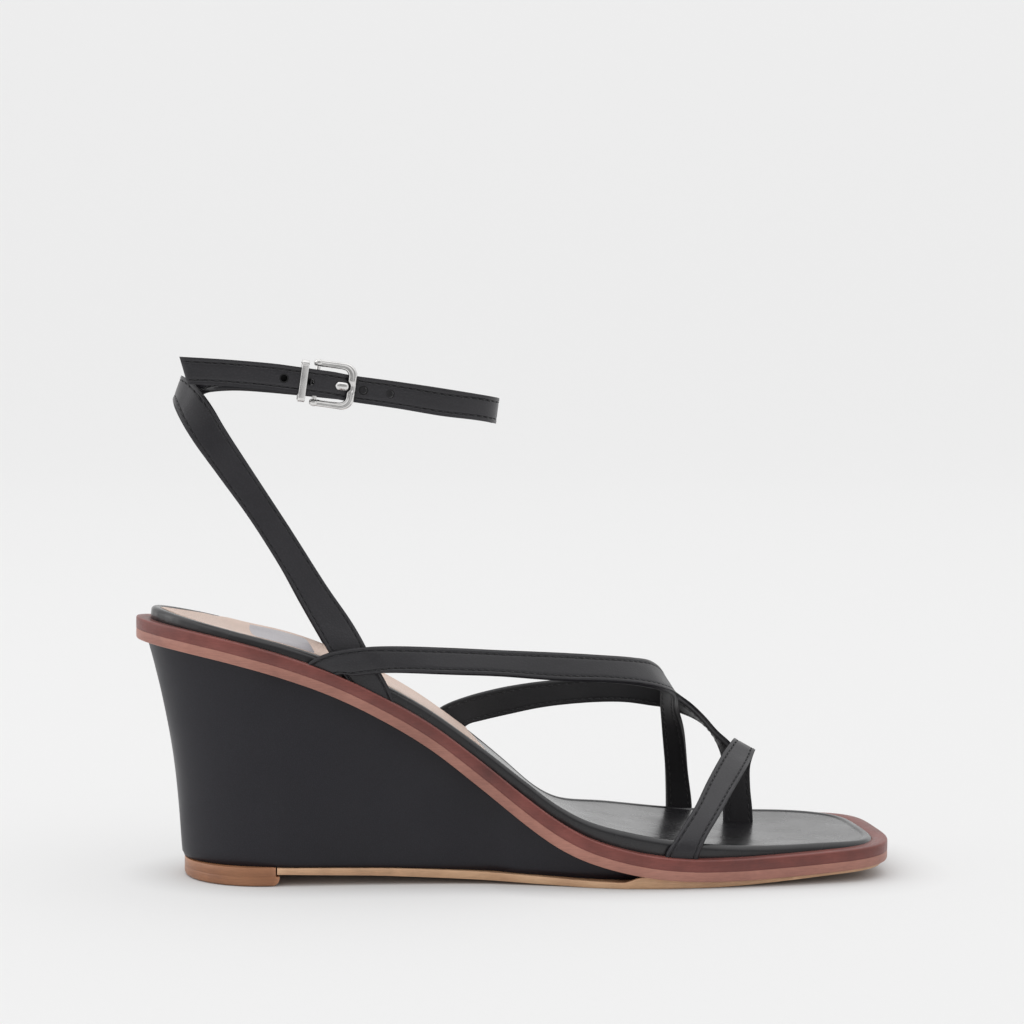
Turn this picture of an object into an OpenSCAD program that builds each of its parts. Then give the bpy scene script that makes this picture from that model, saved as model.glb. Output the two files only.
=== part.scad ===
// Wedge sandal, right foot: strappy upper with a toe post, sling and buckled ankle strap
// on a wrapped wedge. +X toe, -Y lateral side, +Z up, origin at the centre of the base.

/* [Sole] */
// Overhang of the two-tone edge beyond the footbed
edge_out = 4.8; // [4:0.1:5]
// Thickness of the two-tone edge, measured square to it
edge_t = 6.9; // [6.6:0.1:7.2]
// Share of the edge taken by the dark upper band
edge_split = 0.54; // [0.5:0.01:0.58]
// Thickness of the insole board
board_t = 2; // [1.6:0.1:2.1]
// Thickness of the footbed leather
cover_t = 1; // [0.8:0.05:1.1]
// Thickness of the leather wrapped round the wedge
wrap_t = 1; // [0.8:0.05:1]
// Height of the heel lift
lift_h = 6; // [5.8:0.05:6]

/* [Straps] */
// Thickness of the strap leather
leather_t = 1.05; // [0.9:0.05:1.05]
// Thickness of the strap lining
lining_t = 1; // [0.8:0.05:1]
// Width of the ankle strap
ankle_w = 8.2; // [7.8:0.1:8.4]
// Radius of the punched holes
hole_r = 1.2; // [1:0.1:1.2]

/* [Buckle] */
// Radius of the buckle bar
bar_r = 0.75; // [0.7:0.05:0.75]
// Radius of the buckle frame wire
wire_r = 0.9; // [0.8:0.05:0.9]
// Half height of the buckle frame, to the wire's centre
frame_h = 6.2; // [6:0.1:6.3]
// Distance from the bar to the end of the frame
frame_l = 11.2; // [11.1:0.05:11.2]
// Half height inside the keeper loop
keeper_h = 5.6; // [5.3:0.1:5.8]

/* [Hidden] */
$fn = 48;

// ---------- smooth curves through hand-set stations ----------
function seg(t, x, i = 0) = (i >= len(t) - 2 || x < t[i + 1][0]) ? i : seg(t, x, i + 1);
function dydx(t, i, k) = i == 0 ? (t[1][k] - t[0][k]) / (t[1][0] - t[0][0])
    : i == len(t) - 1 ? (t[i][k] - t[i - 1][k]) / (t[i][0] - t[i - 1][0])
    : (t[i + 1][k] - t[i - 1][k]) / (t[i + 1][0] - t[i - 1][0]);
function curve(t, x, k = 1) = let(i = seg(t, x), h = t[i + 1][0] - t[i][0],
    u = min(max((x - t[i][0]) / h, 0), 1), a = t[i][k], b = t[i + 1][k],
    ma = dydx(t, i, k) * h, mb = dydx(t, i + 1, k) * h)
    a * (2 * u * u * u - 3 * u * u + 1) + ma * (u * u * u - 2 * u * u + u)
    + b * (3 * u * u - 2 * u * u * u) + mb * (u * u * u - u * u);

// heights along the sole: x, footbed rim, top of the edge, depth share of slope
rim_t = [[-122, 87.4], [-105, 83], [-90, 79.3], [-75, 75.4], [-60, 70.3], [-45, 63.4], [-30, 54.9],
    [-15, 44.2], [0, 32.6], [10, 25.2], [20, 20.2], [35, 16.4], [50, 13.9], [65, 12.5], [80, 12], [100, 12.1], [122, 11.8]];
edge_top_t = [[-122, 82.6], [-105, 79.7], [-90, 76.5], [-75, 72.3], [-60, 66.8], [-45, 59.6], [-30, 51.0],
    [-15, 39.9], [0, 27.9], [10, 20.7], [20, 15.4], [35, 11.2], [50, 9.3], [65, 9], [80, 9.5], [100, 10.4], [122, 11.6]];
edge_depth_t = [[-122, 1], [-75, 1.02], [-45, 1.06], [-30, 1.14], [-15, 1.22], [0, 1.24], [10, 1.2], [20, 1.08], [35, 1.02], [50, 1], [92, 0.98], [122, 0.9]];
wedge_base_t = [[-112, 6.2], [-45, 5.4], [-20, 4.4], [0, 3.3], [18, 2.3], [42, 1.9]];
ground_t = [[-76, 3.7], [-60, 3.3], [-45, 2.9], [-20, 1.7], [4, 0.5], [20, 0], [30, 0], [50, 0], [58, 0], [68, 0.4], [82, 1.3], [100, 2.6], [122, 4]];

function z_rim(x) = curve(rim_t, x);
function z_top(x) = curve(edge_top_t, x);
function z_mid(x) = z_top(x) - edge_t * edge_split * curve(edge_depth_t, x);
function z_low(x) = z_top(x) - edge_t * curve(edge_depth_t, x);
function z_base(x) = curve(wedge_base_t, x);
function z_ground(x) = max(0, curve(ground_t, x));

// plan of the footbed: x, lateral reach, medial reach before the ends are rounded
heel_x = -115.7;
toe_x = 115.7;
plan_t = [[-122, 26.5, 25.5], [-95, 26.5, 25.5], [-69, 26.5, 25], [-39, 26.5, 21], [-16, 27.5, 20.5], [8, 31, 24.5],
    [26, 35, 31], [42, 36.5, 36.5], [56, 36, 38.5], [77, 34, 38], [93, 31.5, 36], [122, 26.5, 31]];
mid_y = -0.75;
function round_end(d, a, p) = d >= a ? 1 : d <= 0 ? 0 : pow(1 - pow((a - d) / a, p), 1 / p);
function lat(x, e = 0) = mid_y - (curve(plan_t, x, 1) + e) * round_end(x - heel_x + e, 42 + e, 2) * round_end(toe_x + e - x, 19 + e, 3.4);
function med(x, e = 0) = mid_y + (curve(plan_t, x, 2) + e) * round_end(x - heel_x + e, 42 + e, 2) * round_end(toe_x + e - x, 48 + e, 4.2);
// stations bunched towards both ends
function stations(a, b, n, q = 5) = [for (i = [0:n]) let(t = q + (180 - 2 * q) * i / n) a + (b - a) * (1 - cos(t)) / 2];
function even(a, b, n) = [for (i = [0:n]) a + (b - a) * i / n];

// closed skin through rings of points, ends closed as strips
// (flip turns the diagonals, so that a strap and its lining share the same surface)
module skin(S, flip = false) {
    n = len(S[0]);
    m = len(S) - 1;
    polyhedron(points = [for (r = S) for (p = r) p],
        faces = concat(
            [for (j = [0:m - 1]) for (i = [0:n - 1]) let(k = (i + 1) % n, a = j * n, b = a + n)
                each flip ? [[a + i, a + k, b + i], [a + k, b + k, b + i]] : [[a + i, b + k, b + i], [a + i, a + k, b + k]]],
            [for (i = [0:n / 2 - 2]) each [[i, n - 1 - i, i + 1], [i + 1, n - 1 - i, n - 2 - i]]],
            [for (i = [0:n / 2 - 2]) each [[m * n + i, m * n + i + 1, m * n + n - 1 - i], [m * n + i + 1, m * n + n - 2 - i, m * n + n - 1 - i]]]),
        convexity = 8);
}

// ---------- straps: a ribbon between two rails ----------
function cr(P, s) = let(n = len(P) - 1, i = min(floor(s), n - 1), u = s - i,
    p0 = i == 0 ? 2 * P[0] - P[1] : P[i - 1], p1 = P[i], p2 = P[i + 1], p3 = i + 2 > n ? 2 * P[n] - P[n - 1] : P[i + 2])
    0.5 * ((2 * p1) + (p2 - p0) * u + (2 * p0 - 5 * p1 + 4 * p2 - p3) * u * u + (3 * p1 - p0 - 3 * p2 + p3) * u * u * u);
function unit(v) = v / norm(v);
// rails run the same way; the first rail is on the right seen from outside, looking along the strap
function ribbon(A, B, lo, hi, n, s0 = 0, s1 = -1, j0 = 0) = let(L = s1 < 0 ? len(A) - 1 : s1)
    [for (j = [j0:n]) let(s = s0 + (L - s0) * j / n, a = cr(A, s), b = cr(B, s), e = 0.04,
        q0 = max(s - e, 0), q1 = min(s + e, len(A) - 1),
        t = (cr(A, q1) + cr(B, q1)) / 2 - (cr(A, q0) + cr(B, q0)) / 2,
        w = unit(b - a), k = unit(cross(t, w)), c = 0.35)
        [a + k * lo, a + k * hi, a + k * hi + c * w, b + k * hi - c * w, b + k * hi, b + k * lo]];
module strap(A, B, lo, hi, n, s0 = 0, s1 = -1, flip = false, j0 = 0) {
    S = ribbon(A, B, lo, hi, n, s0, s1, j0);
    skin([for (r = S) [for (i = [0:5]) i == 1 ? r[1] - 0.3 * (r[1] - r[0]) : i == 4 ? r[4] - 0.3 * (r[4] - r[5]) : r[i]]], flip);
}

// lateral instep strap: front rail and back rail, heel end first
instep_A = [[-60.5, -29.2, 64.2], [-58.4, -30.25, 67], [-54, -30.3, 66.3], [-49.5, -30.3, 66.8], [-45, -30.2, 67], [-38.5, -28.7, 66.8], [-24, -25.8, 65.9],
    [-7.5, -22, 64.8], [11.5, -16, 62.6], [28, -10.5, 61.3], [40.5, -4, 59.4], [49.5, 3.5, 56.8], [55.5, 14, 53.5], [58.5, 25.5, 47.5],
    [62.3, 32, 38.5], [65.2, 37.5, 23.5], [66.8, 39.1, 13.5], [66.8, 39.1, 6]];
instep_B = [[-69, -28.9, 68.8], [-67, -29.6, 71], [-62.5, -30.2, 73.2], [-57.5, -30.25, 74.3], [-50.5, -30.1, 75.1], [-39.5, -26.8, 74.8], [-23.5, -22, 73.5],
    [-7.3, -18, 72.2], [11.8, -12, 70.7], [27, -6, 69], [38, 1, 67.3], [46, 9, 65], [52, 20, 59.3], [54, 30, 49],
    [55.5, 35, 39], [57.4, 38.2, 24], [58, 39.1, 13.6], [58, 39.1, 6]];
// medial strap from the arch, outside the instep strap, down to the toe post
arch_A = [[-26, 21.3, 44.8], [-20.5, 22.5, 49.5], [-12.5, 24.2, 52.3], [-1.3, 26, 54.8], [10, 27.6, 56.4], [20, 28.8, 57.2], [31.5, 30, 58.2],
    [42, 31.5, 58.2], [50.5, 32.5, 56.6], [56, 32.2, 54.2], [60, 30.5, 50.9], [63.4, 27.5, 48.3], [66.9, 23.5, 44.7], [70.6, 19.4, 40.2],
    [76, 17.8, 35.2], [79.4, 17, 26.8], [81.4, 16.9, 18.9], [82.6, 16.9, 9.4]];
arch_B = [[-16, 21.8, 38.6], [-12.5, 22.8, 43], [-7, 24.8, 44.4], [2.5, 26.8, 46.2], [12, 28.2, 47.9], [21.5, 29.5, 48.9], [32.5, 31, 49.4],
    [42, 32.6, 49.1], [51, 34.6, 47.7], [57, 35.6, 46.8], [62.2, 35, 45.2], [66.3, 33, 43.8], [70, 30, 41.4], [72.6, 26.6, 37.5],
    [73.8, 22.5, 31.4], [72.8, 19.2, 24.5], [73, 17.4, 18.1], [73.2, 16.9, 9.4]];
// toe strap: over the outer toes, folded over at the top and down as the toe post
toe_A = [[53, -38.4, 5.6], [53, -38.4, 9], [54.6, -38, 13], [57.4, -35.3, 16.8], [61.5, -30, 20.8], [67.2, -20.5, 25.8], [74.4, -7.5, 31.1],
    [78.5, 1.5, 33.7], [80.8, 7.5, 35.3], [81.8, 11.6, 34.2], [81.2, 14.1, 29.5], [81.4, 14.4, 22.8], [82.2, 14.5, 16], [82.6, 14.5, 9.4]];
toe_B = [[42.8, -38.4, 6.6], [42.8, -38.4, 10.4], [45, -38, 13.8], [49, -34.8, 18.6], [53.9, -28.8, 23.6], [59.5, -18.5, 29.2], [66.5, -5.5, 35.1],
    [71, 3, 37.9], [73.8, 8.5, 39.1], [75, 12.2, 38.1], [74.4, 14.2, 33], [73.4, 14.4, 24], [72.8, 14.5, 16.8], [72.8, 14.5, 9.4]];
// sling: lateral arch, up, round the back of the ankle and down the medial side (half listed, then mirrored)
hinge = [-54.4, 0, 70];
sling_low = [[-50, -28.9, 72.4], [-47.7, -28.1, 75.3], [-54.3, -25.6, 83], [-62.3, -23.4, 93.8], [-73.2, -20.3, 111], [-83.3, -18, 126.5],
    [-92.7, -15.9, 141], [-96.4, -14.7, 147.6], [-99.8, -12.9, 153], [-103.8, -8.2, 158], [-105.9, 0, 160]];
sling_back = [[-58.2, -28.9, 67.4], [-63.1, -28, 76], [-68.2, -25.6, 85], [-74.9, -22.9, 97.1], [-85.5, -19.9, 113.7], [-94.8, -17.7, 126.5],
    [-102.5, -15.9, 137], [-105.8, -13.7, 142.5], [-107.6, -9.8, 146.8], [-108, -5, 149.2], [-108.1, 0, 150]];
function side(y, z) = z > 140 ? -y : -y - 4.6 * (1 - pow((z - 60) / 80, 2));
function mirrored(P) = [for (i = [len(P) - 2:-1:0]) [P[i][0], side(P[i][1], P[i][2]), P[i][2]]];
sling_A = concat(sling_low, mirrored(sling_low));
sling_B = concat(sling_back, mirrored(sling_back));
root_A = [[-50.2, -28.9, 71.6], [-45.2, -28.9, 66.5], [-42.4, -28.9, 61], [-41, -28.9, 56]];
root_B = [[-58, -28.9, 67.4], [-56.2, -28.9, 64.6], [-54, -28.9, 61.8], [-51, -28.9, 59.8]];
// ankle strap centreline: from the buckle back round the ankle, over the front and through the buckle to the cut end
buckle = [-65, -15.35, 156.2];
strap_slope = 7.5;
function on_line(x) = buckle[2] - tan(strap_slope) * (x - buckle[0]);
ankle_M = [[-66.8, -15.35, on_line(-66.8)], [-72, -15.35, 156.9], [-79, -15.35, 157.5], [-88.5, -15, 158.1], [-95.8, -12.2, 157.6], [-100, -7.5, 156], [-101.8, 0, 155.4],
    [-100, 7.5, 155.7], [-95.6, 12.6, 156.6], [-86, 15.5, 156.9], [-69, 16.5, 155.6], [-49, 16.5, 153.6], [-29, 14.8, 151], [-15, 11.5, 148.9], [-9, 6.8, 147.9],
    [-7, 0, 147.4], [-9, -7, 147.9], [-15, -11.8, 148.9], [-26, -14.8, 150.2], [-39, -16.2, 152.35], [-51, -16.35, on_line(-51) - 0.35],
    [-54.6, -16, on_line(-54.6) - 0.3], [-57.6, -17.25, on_line(-57.6) - 0.2], [-60.2, -18, on_line(-60.2)], [-65, -18.1, on_line(-65)], [-71, -18, on_line(-71)],
    [-79, -18, 158], [-90, -18.1, 158.9], [-98, -18.3, 159.4], [-105.7, -18.5, 159.65]];
wv = [sin(strap_slope), 0, cos(strap_slope)];
// the cut end is slanted: the last point of the top rail reaches further back
function slant(i, k) = i == len(ankle_M) - 1 ? [-k, 0, 0.1 * k] : [0, 0, 0];
ankle_A = [for (i = [0:len(ankle_M) - 1]) ankle_M[i] + wv * ankle_w / 2 + slant(i, 2.2)];
ankle_B = [for (i = [0:len(ankle_M) - 1]) ankle_M[i] - wv * ankle_w / 2 + slant(i, -1.4)];
hole_x = [-75.2, -66.9, -50.4, -42.1];
hole_y = [-18, -18, -16.35, -16.25];

module on_buckle() { translate(buckle) rotate([0, strap_slope, 0]) children(); }
frame_tilt = 13.7;

// screws and nails: x, y
screw_at = [[-93.5, -0.75], [-64.5, 12], [-64.5, -12]];
nail_at = [[-98, -8], [-98, 8], [-84, -15], [-84, 15]];
rivet_at = [-80, -68, -2, 10];

// ---------- sole unit ----------
module lift_plan(e = 0) {
    intersection() {
        translate([-80, mid_y]) circle(r = 25 + e, $fn = 96);
        translate([-105 - e, mid_y - 30]) square([60, 60]);
    }
    translate([-80, mid_y - 25 - e]) square([3.9, 50 + 2 * e]);
}
module heel_lift() color("peru") difference() {
    union() {
        translate([0, 0, 1]) linear_extrude(lift_h - 1.1) intersection() { lift_plan(0); translate([-110, -40]) square([32.6, 80]); }
        translate([0, 0, 1]) linear_extrude(2) intersection() { lift_plan(0); translate([-110, -40]) square([33.8, 80]); }
        linear_extrude(1) intersection() { lift_plan(-0.8); translate([-110, -40]) square([32.1, 80]); }
    }
    for (p = nail_at) translate([p[0], p[1], -1]) cylinder(r = 0.9, h = 10);
    for (p = nail_at) translate([p[0], p[1], -1]) cylinder(r = 1.8, h = 2.1);
}
module heel_lift_nails() color("silver") for (p = nail_at) {
    translate([p[0], p[1], 0.3]) cylinder(r = 1.75, h = 0.8);
    translate([p[0], p[1], 1.1]) cylinder(r = 0.85, h = 17);
}
module outsole() color("burlywood") skin([for (x = concat(even(-77, 41.2, 19), stations(42.4, toe_x + 1.2, 22, 0)))
    let(k = x < 41.5 ? z_base(x) - 0.1 : z_low(x) - 0.1, w = x > 30 ? edge_out - 2 : -1.2 + 4 * max(0, x + 10) / 40,
        f = min(1, (toe_x + 2.6 - x) / 4), l = lat(x, min(w, edge_out - 2)), m = med(x, min(w, edge_out - 2)), g = z_ground(x), t = max(k, g + 0.8))
    [[x, l + 0.5, g], [x, l, t], [x, m, t], [x, m - 0.5, g]]]);

// wedge: s runs from the back to the front, v from the base to the top
back_t = [[0, -105.7], [0.25, -107], [0.5, -109], [0.75, -112.3], [0.9, -114.8], [1, -116.7]];
wedge_front = 41;
function wx(s, v) = let(b = curve(back_t, v)) b + (wedge_front - b) * s;
function wz(x, v) = z_base(x) + 0.1 + (z_low(min(x, wedge_front)) - 0.15 - z_base(x) - 0.1) * v;
function wr(s, v) = round_end((wx(s, v) - wx(0, v)), 36, 2);
function wy(sd, s, v, e) = let(x = wx(s, v), y = sd < 0 ? curve(plan_t, x, 1) : curve(plan_t, x, 2), out = -0.9 - 0.9 * (1 - v))
    mid_y + sd * (min(y, 26.5 + 40 * pow(max(0, (x + 10) / 60), 1.3)) + out) * wr(s, v) - sd * e * (s < 0.12 ? 1 : 1);
function wedge_s(n, q = 4) = [for (i = [0:n]) let(t = q + (90 - q) * i / n) 1 - cos(t)];
vv = [0, 0.2, 0.45, 0.7, 0.88, 1];
module wedge_core() color("dimgray")
    skin([for (s = wedge_s(28, 6)) let(d = wrap_t + 0.35)
        concat([for (v = vv) let(x = wx(s, v) + (s < 0.2 ? d * (1 - s / 0.2) : 0)) [x, min(wy(-1, s, v, d), mid_y - 0.4), wz(x, v) + (v == 0 ? 0.05 : 0)]],
            [for (i = [5:-1:0]) let(v = vv[i], x = wx(s, v) + (s < 0.2 ? d * (1 - s / 0.2) : 0)) [x, max(wy(1, s, v, d), mid_y + 0.4), wz(x, v) + (v == 0 ? 0.05 : 0)]])]);
module wedge_wrap() color("#26262a") skin([for (j = [30:-1:-30])
    let(sd = j < 0 ? -1 : 1, a = abs(j) / 30, s = 1 - cos(90 * a), o = j == 0 ? 0 : 1)
    concat([for (v = vv) let(x = wx(s, v)) [x, j == 0 ? mid_y : wy(sd, s, v, 0), wz(x, v)]],
        [for (i = [5:-1:0]) let(v = vv[i], x = wx(s, v), xi = x + wrap_t * max(0, 1 - s / 0.2))
            [xi, j == 0 ? mid_y : mid_y + sd * max(0.2, sd * (wy(sd, s, v, wrap_t) - mid_y)), wz(xi, v)]])]);

module plate(e, lo, hi, a, b, n) skin([for (x = stations(a, b, n, 5)) [[x, lat(x, e), lo == 0 ? z_low(x) : lo == 1 ? z_mid(x) : z_rim(x)],
    [x, lat(x, e), hi(x)], [x, med(x, e), hi(x)], [x, med(x, e), lo == 0 ? z_low(x) : lo == 1 ? z_mid(x) : z_rim(x)]]]);
module platform_lower_layer() color("#b07a68") difference() {
    plate(edge_out - 0.3, 0, function (x) z_mid(x) - 0.05, heel_x - edge_out + 0.3, toe_x + edge_out - 0.3, 44);
    for (p = screw_at) translate([p[0], p[1], 50]) cylinder(r = 2.05, h = 40);
}
// ring of points round an outline, lateral side toe to heel, then medial side heel to toe
function loop_pts(e, n) = let(X = stations(heel_x - e, toe_x + e, n, 4)) concat(
    [for (i = [n:-1:0]) [X[i], lat(X[i], e)]], [for (i = [0:n]) [X[i], med(X[i], e)]]);
module band(e0, e1, n) {
    O = loop_pts(e1, n);
    I = loop_pts(e0, n);
    m = len(O);
    polyhedron(points = concat([for (p = I) [p[0], p[1], z_mid(p[0])]], [for (p = O) [p[0], p[1], z_mid(p[0])]],
            [for (p = O) [p[0], p[1], z_top(p[0])]], [for (p = I) [p[0], p[1], z_top(p[0])]]),
        faces = [for (i = [0:m - 1]) for (k = [0:3]) let(j = (i + 1) % m, a = k * m, b = ((k + 1) % 4) * m)
            each [[a + i, b + j, b + i], [a + i, a + j, b + j]]], convexity = 8);
}
module platform_upper_layer() color("#5a2a26") difference() {
    band(0.1, edge_out, 44);
    // notches where the strap ends are lasted in
    translate([-71, -31.6, 55]) cube([30.7, 4.6, 25]);
    translate([-57.8, 21, 55]) cube([18, 5, 25]);
    translate([-26.8, 18.5, 30]) cube([12, 4.6, 30]);
    translate([42.4, -39.7, 0]) cube([11.2, 3, 30]);
    translate([57.6, 36, 0]) cube([9.7, 4.4, 30]);
}
module post_slot() translate([72.2, 13.1, 0]) cube([11, 5.2, 30]);
module insole_board() color("tan") difference() {
    plate(-cover_t - 0.15, 1, function (x) z_mid(x) + board_t, heel_x + 1.3, toe_x - 1.3, 40);
    for (p = screw_at) translate([p[0], p[1], 40]) cylinder(r = 2.05, h = 60);
    for (x = rivet_at) translate([x, mid_y, z_mid(x) - 5]) cylinder(r = 1.65, h = 12);
}
// the rim dips on the inner side of the arch
function z_rim_m(x) = z_rim(x) - 2.2 * exp(-pow((x - 15) / 14, 2));
function z_board(x) = z_mid(x) + board_t;
module shank() color("slategray") difference() {
    skin([for (x = even(-88, 17, 24)) let(w = 6.5, z = z_board(x) + 0.25) [[x, mid_y - w, z], [x, mid_y - w, z + 1.2], [x, mid_y + w, z + 1.2], [x, mid_y + w, z]]]);
    for (x = rivet_at) translate([x, mid_y, z_board(x) - 5]) cylinder(r = 1.65, h = 12);
}
module shank_rivets() color("silver") for (x = rivet_at) {
    translate([x, mid_y, z_mid(x - 1.7) + 0.1]) cylinder(r = 1.6, h = z_board(x) + 1.4 - z_mid(x - 1.7) - 0.1);
}
module wedge_screws() color("silver") for (p = screw_at) {
    translate([p[0], p[1], z_mid(p[0]) - 20]) cylinder(r = 1.85, h = 20 + board_t);
    translate([p[0], p[1], z_mid(p[0])]) cylinder(r = 1.85, h = z_board(p[0] - 3.3) - z_mid(p[0]) + 0.3);
    translate([p[0], p[1], z_board(p[0] - 3.3) + 0.1]) cylinder(r = 3.2, h = 0.9);
}
module toe_post_anchor() color("silver") translate([70.7, 10.7, z_board(78) + 0.35]) cube([14.5, 10, 1]);
module foam_solid() skin([for (x = stations(heel_x + 1.6, toe_x - 1.6, 40, 6)) let(b = z_board(x) + 0.12, t = z_rim(x) - cover_t - 0.1 - 0.5 * exp(-pow((x - 15) / 26, 2)))
    [[x, lat(x, -cover_t - 0.2), b], [x, lat(x, -cover_t - 0.2), t], [x, med(x, -cover_t - 0.2), t - z_rim(x) + z_rim_m(x)], [x, med(x, -cover_t - 0.2), b]]]);
module footbed_foam() color("khaki") difference() {
    foam_solid();
    skin([for (x = even(-97, 18, 26)) let(z = z_board(x) - 1, t = 2.9 + 1.9 * min(1, max(0, (x + 50) / 30)))
        [[x, mid_y - 7, z], [x, mid_y - 7, z + t], [x, mid_y + 7, z + t], [x, mid_y + 7, z]]]);
    translate([70.2, 10.2, 0]) cube([15.5, 11, z_board(78) + 2]);
    translate([72.2, 13.1, 5]) cube([11, 5.2, 30]);
}
module footbed_cover() color("#222225") difference() {
    skin([for (x = stations(heel_x, toe_x, 46, 4)) let(l = lat(x), m = med(x), k = cover_t, c = min(0.9, (m - l) / 6), b = z_mid(x) + 0.1, t = z_rim(x), tm = z_rim_m(x))
        [[x, l, b], [x, l, t - c], [x, l + c, t], [x, m - c, tm], [x, m, tm - c], [x, m, b],
            [x, m - min(k, (m - l) / 5), b], [x, m - min(k, (m - l) / 5), tm - k], [x, m - c - k * 0.3, tm - k],
            [x, l + c + k * 0.3, t - k], [x, l + min(k, (m - l) / 5), t - k], [x, l + min(k, (m - l) / 5), b]]]);
    post_slot();
}
module sock_lining() color("#c9a284") skin([for (x = concat(stations(heel_x + 5, -40, 20, 8), even(-36, -13, 7)))
    let(k = 5 + 5 * max(0, (x + 60) / 50), q = round_end(-11 - x, 5, 2), l = mid_y + (lat(x, -k) - mid_y) * q, m = mid_y + (med(x, -k) - mid_y) * q, z = z_rim(x) + 0.06)
    [[x, l, z], [x, l, z + 0.5], [x, m, z + 0.5], [x, m, z]]]);

// ---------- upper ----------
module instep_strap() color("#1f1f22") strap(instep_A, instep_B, 0, leather_t, 66);
module instep_strap_lining() color("#3a3a3e") strap(instep_B, instep_A, 0.03, lining_t, 66, flip = true, j0 = 20);
module arch_strap() color("#1f1f22") strap(arch_A, arch_B, 0, leather_t, 60);
module arch_strap_lining() color("#3a3a3e") strap(arch_B, arch_A, 0.03, lining_t, 60, flip = true, j0 = 3);
module toe_strap() color("#1f1f22") strap(toe_A, toe_B, 0, leather_t, 54);
module toe_strap_lining() color("#3a3a3e") strap(toe_B, toe_A, 0.03, lining_t - 0.1, 54, flip = true, j0 = 5);
module pivot_cut(r, y0, y1) translate([hinge[0], y0, hinge[2]]) rotate([-90, 0, 0]) cylinder(r = r, h = y1 - y0, $fn = 48);
module sling_root_lateral() color("#1f1f22") difference() {
    strap(root_A, root_B, -1, 1, 8);
    pivot_cut(4.95, -35, -20);
}
module sling_root_medial() color("#1f1f22") difference() {
    mirror([0, 1, 0]) translate([0, 4.6, 0]) strap(root_A, root_B, -1, 1, 8);
    pivot_cut(4.95, 18, 30);
}
module sling_strap() color("#1f1f22") strap(sling_A, sling_B, 0, leather_t, 78, 0.25, len(sling_A) - 1.25);
module sling_strap_lining() color("#3a3a3e") strap(sling_B, sling_A, 0.03, lining_t, 78, 0.25, len(sling_A) - 1.25, true);
module holes() {
    for (i = [0:3]) translate([hole_x[i], hole_y[i] + 1.15, on_line(hole_x[i]) - (i > 1 ? 0.35 : 0)]) rotate([90, 0, 0]) cylinder(r = hole_r, h = 2.3);
    // the hole in use is drawn out by the prong
    on_buckle() translate([2.6, -3.9, -1.3]) cube([5.6, 3, 2.6]);
}
module ankle_strap() color("#1f1f22") difference() {
    strap(ankle_A, ankle_B, 0, 0.92, 150);
    holes();
}
module ankle_strap_lining() color("#3a3a3e") difference() {
    strap(ankle_B, ankle_A, 0.03, 0.92, 150, flip = true);
    holes();
}

// ---------- buckle ----------
module buckle_strap_turn() color("#1f1f22") on_buckle() difference() {
    translate([0, 0, -ankle_w / 2]) cylinder(r = 1.6, h = ankle_w);
    translate([0, 0, -10]) cylinder(r = bar_r + 0.08, h = 20);
    translate([-3, -3, -1.35]) cube([6, 6, 2.7]);
}
module buckle_bar() color("silver") on_buckle() translate([0, 0, -frame_h - 0.9]) cylinder(r = bar_r, h = 2 * frame_h + 1.8);
module buckle_frame() color("silver") on_buckle() rotate([0, 0, -frame_tilt]) difference() {
    union() {
        for (k = [-1, 1]) {
            translate([0, 0, k * frame_h - 0.9]) cylinder(r = 1.4, h = 1.8);
            translate([0, 0, k * frame_h]) rotate([0, 90, 0]) cylinder(r = wire_r, h = frame_l - 3);
            translate([frame_l - 3, 0, k * (frame_h - 3)]) rotate([90, 0, 0]) rotate([0, 0, k > 0 ? 0 : -90]) rotate_extrude(angle = 90, $fn = 64) translate([3, 0]) circle(r = wire_r, $fn = 32);
        }
        translate([frame_l, 0, -frame_h + 3]) cylinder(r = wire_r, h = 2 * frame_h - 6);
    }
    translate([0, 0, -20]) cylinder(r = bar_r + 0.04, h = 40);
}
module buckle_prong() color("silver") on_buckle() mirror([0, 1, 0]) translate([0, 0, -1]) linear_extrude(2) difference() {
    union() {
        circle(r = 1.3);
        polygon([[0.6, -0.4], [4.9, 0.25], [8.2, 3.2], [11.9, 4], [12.3, 4.5], [11.8, 5], [7.6, 4.25], [4.3, 1.3], [0.6, 1.1]]);
    }
    circle(r = bar_r + 0.05);
}
module keeper_loop() color("silver") on_buckle() translate([-5.35, 0, 0]) difference() {
    translate([0, -4.9, -keeper_h - 1]) cube([2.3, 6.9, 2 * keeper_h + 2]);
    translate([-1, -3.95, -keeper_h]) cube([5, 5.1, 2 * keeper_h]);
}

heel_lift();
heel_lift_nails();
outsole();
wedge_core();
wedge_wrap();
platform_lower_layer();
platform_upper_layer();
insole_board();
shank();
shank_rivets();
wedge_screws();
toe_post_anchor();
footbed_foam();
footbed_cover();
sock_lining();
instep_strap();
instep_strap_lining();
arch_strap();
arch_strap_lining();
toe_strap();
toe_strap_lining();
sling_root_lateral();
sling_root_medial();
sling_strap();
sling_strap_lining();
ankle_strap();
ankle_strap_lining();
buckle_strap_turn();
buckle_bar();
buckle_frame();
buckle_prong();
keeper_loop();
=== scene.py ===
import bpy, bmesh, math, random
import numpy as np
from mathutils import Vector, Matrix, noise


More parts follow.
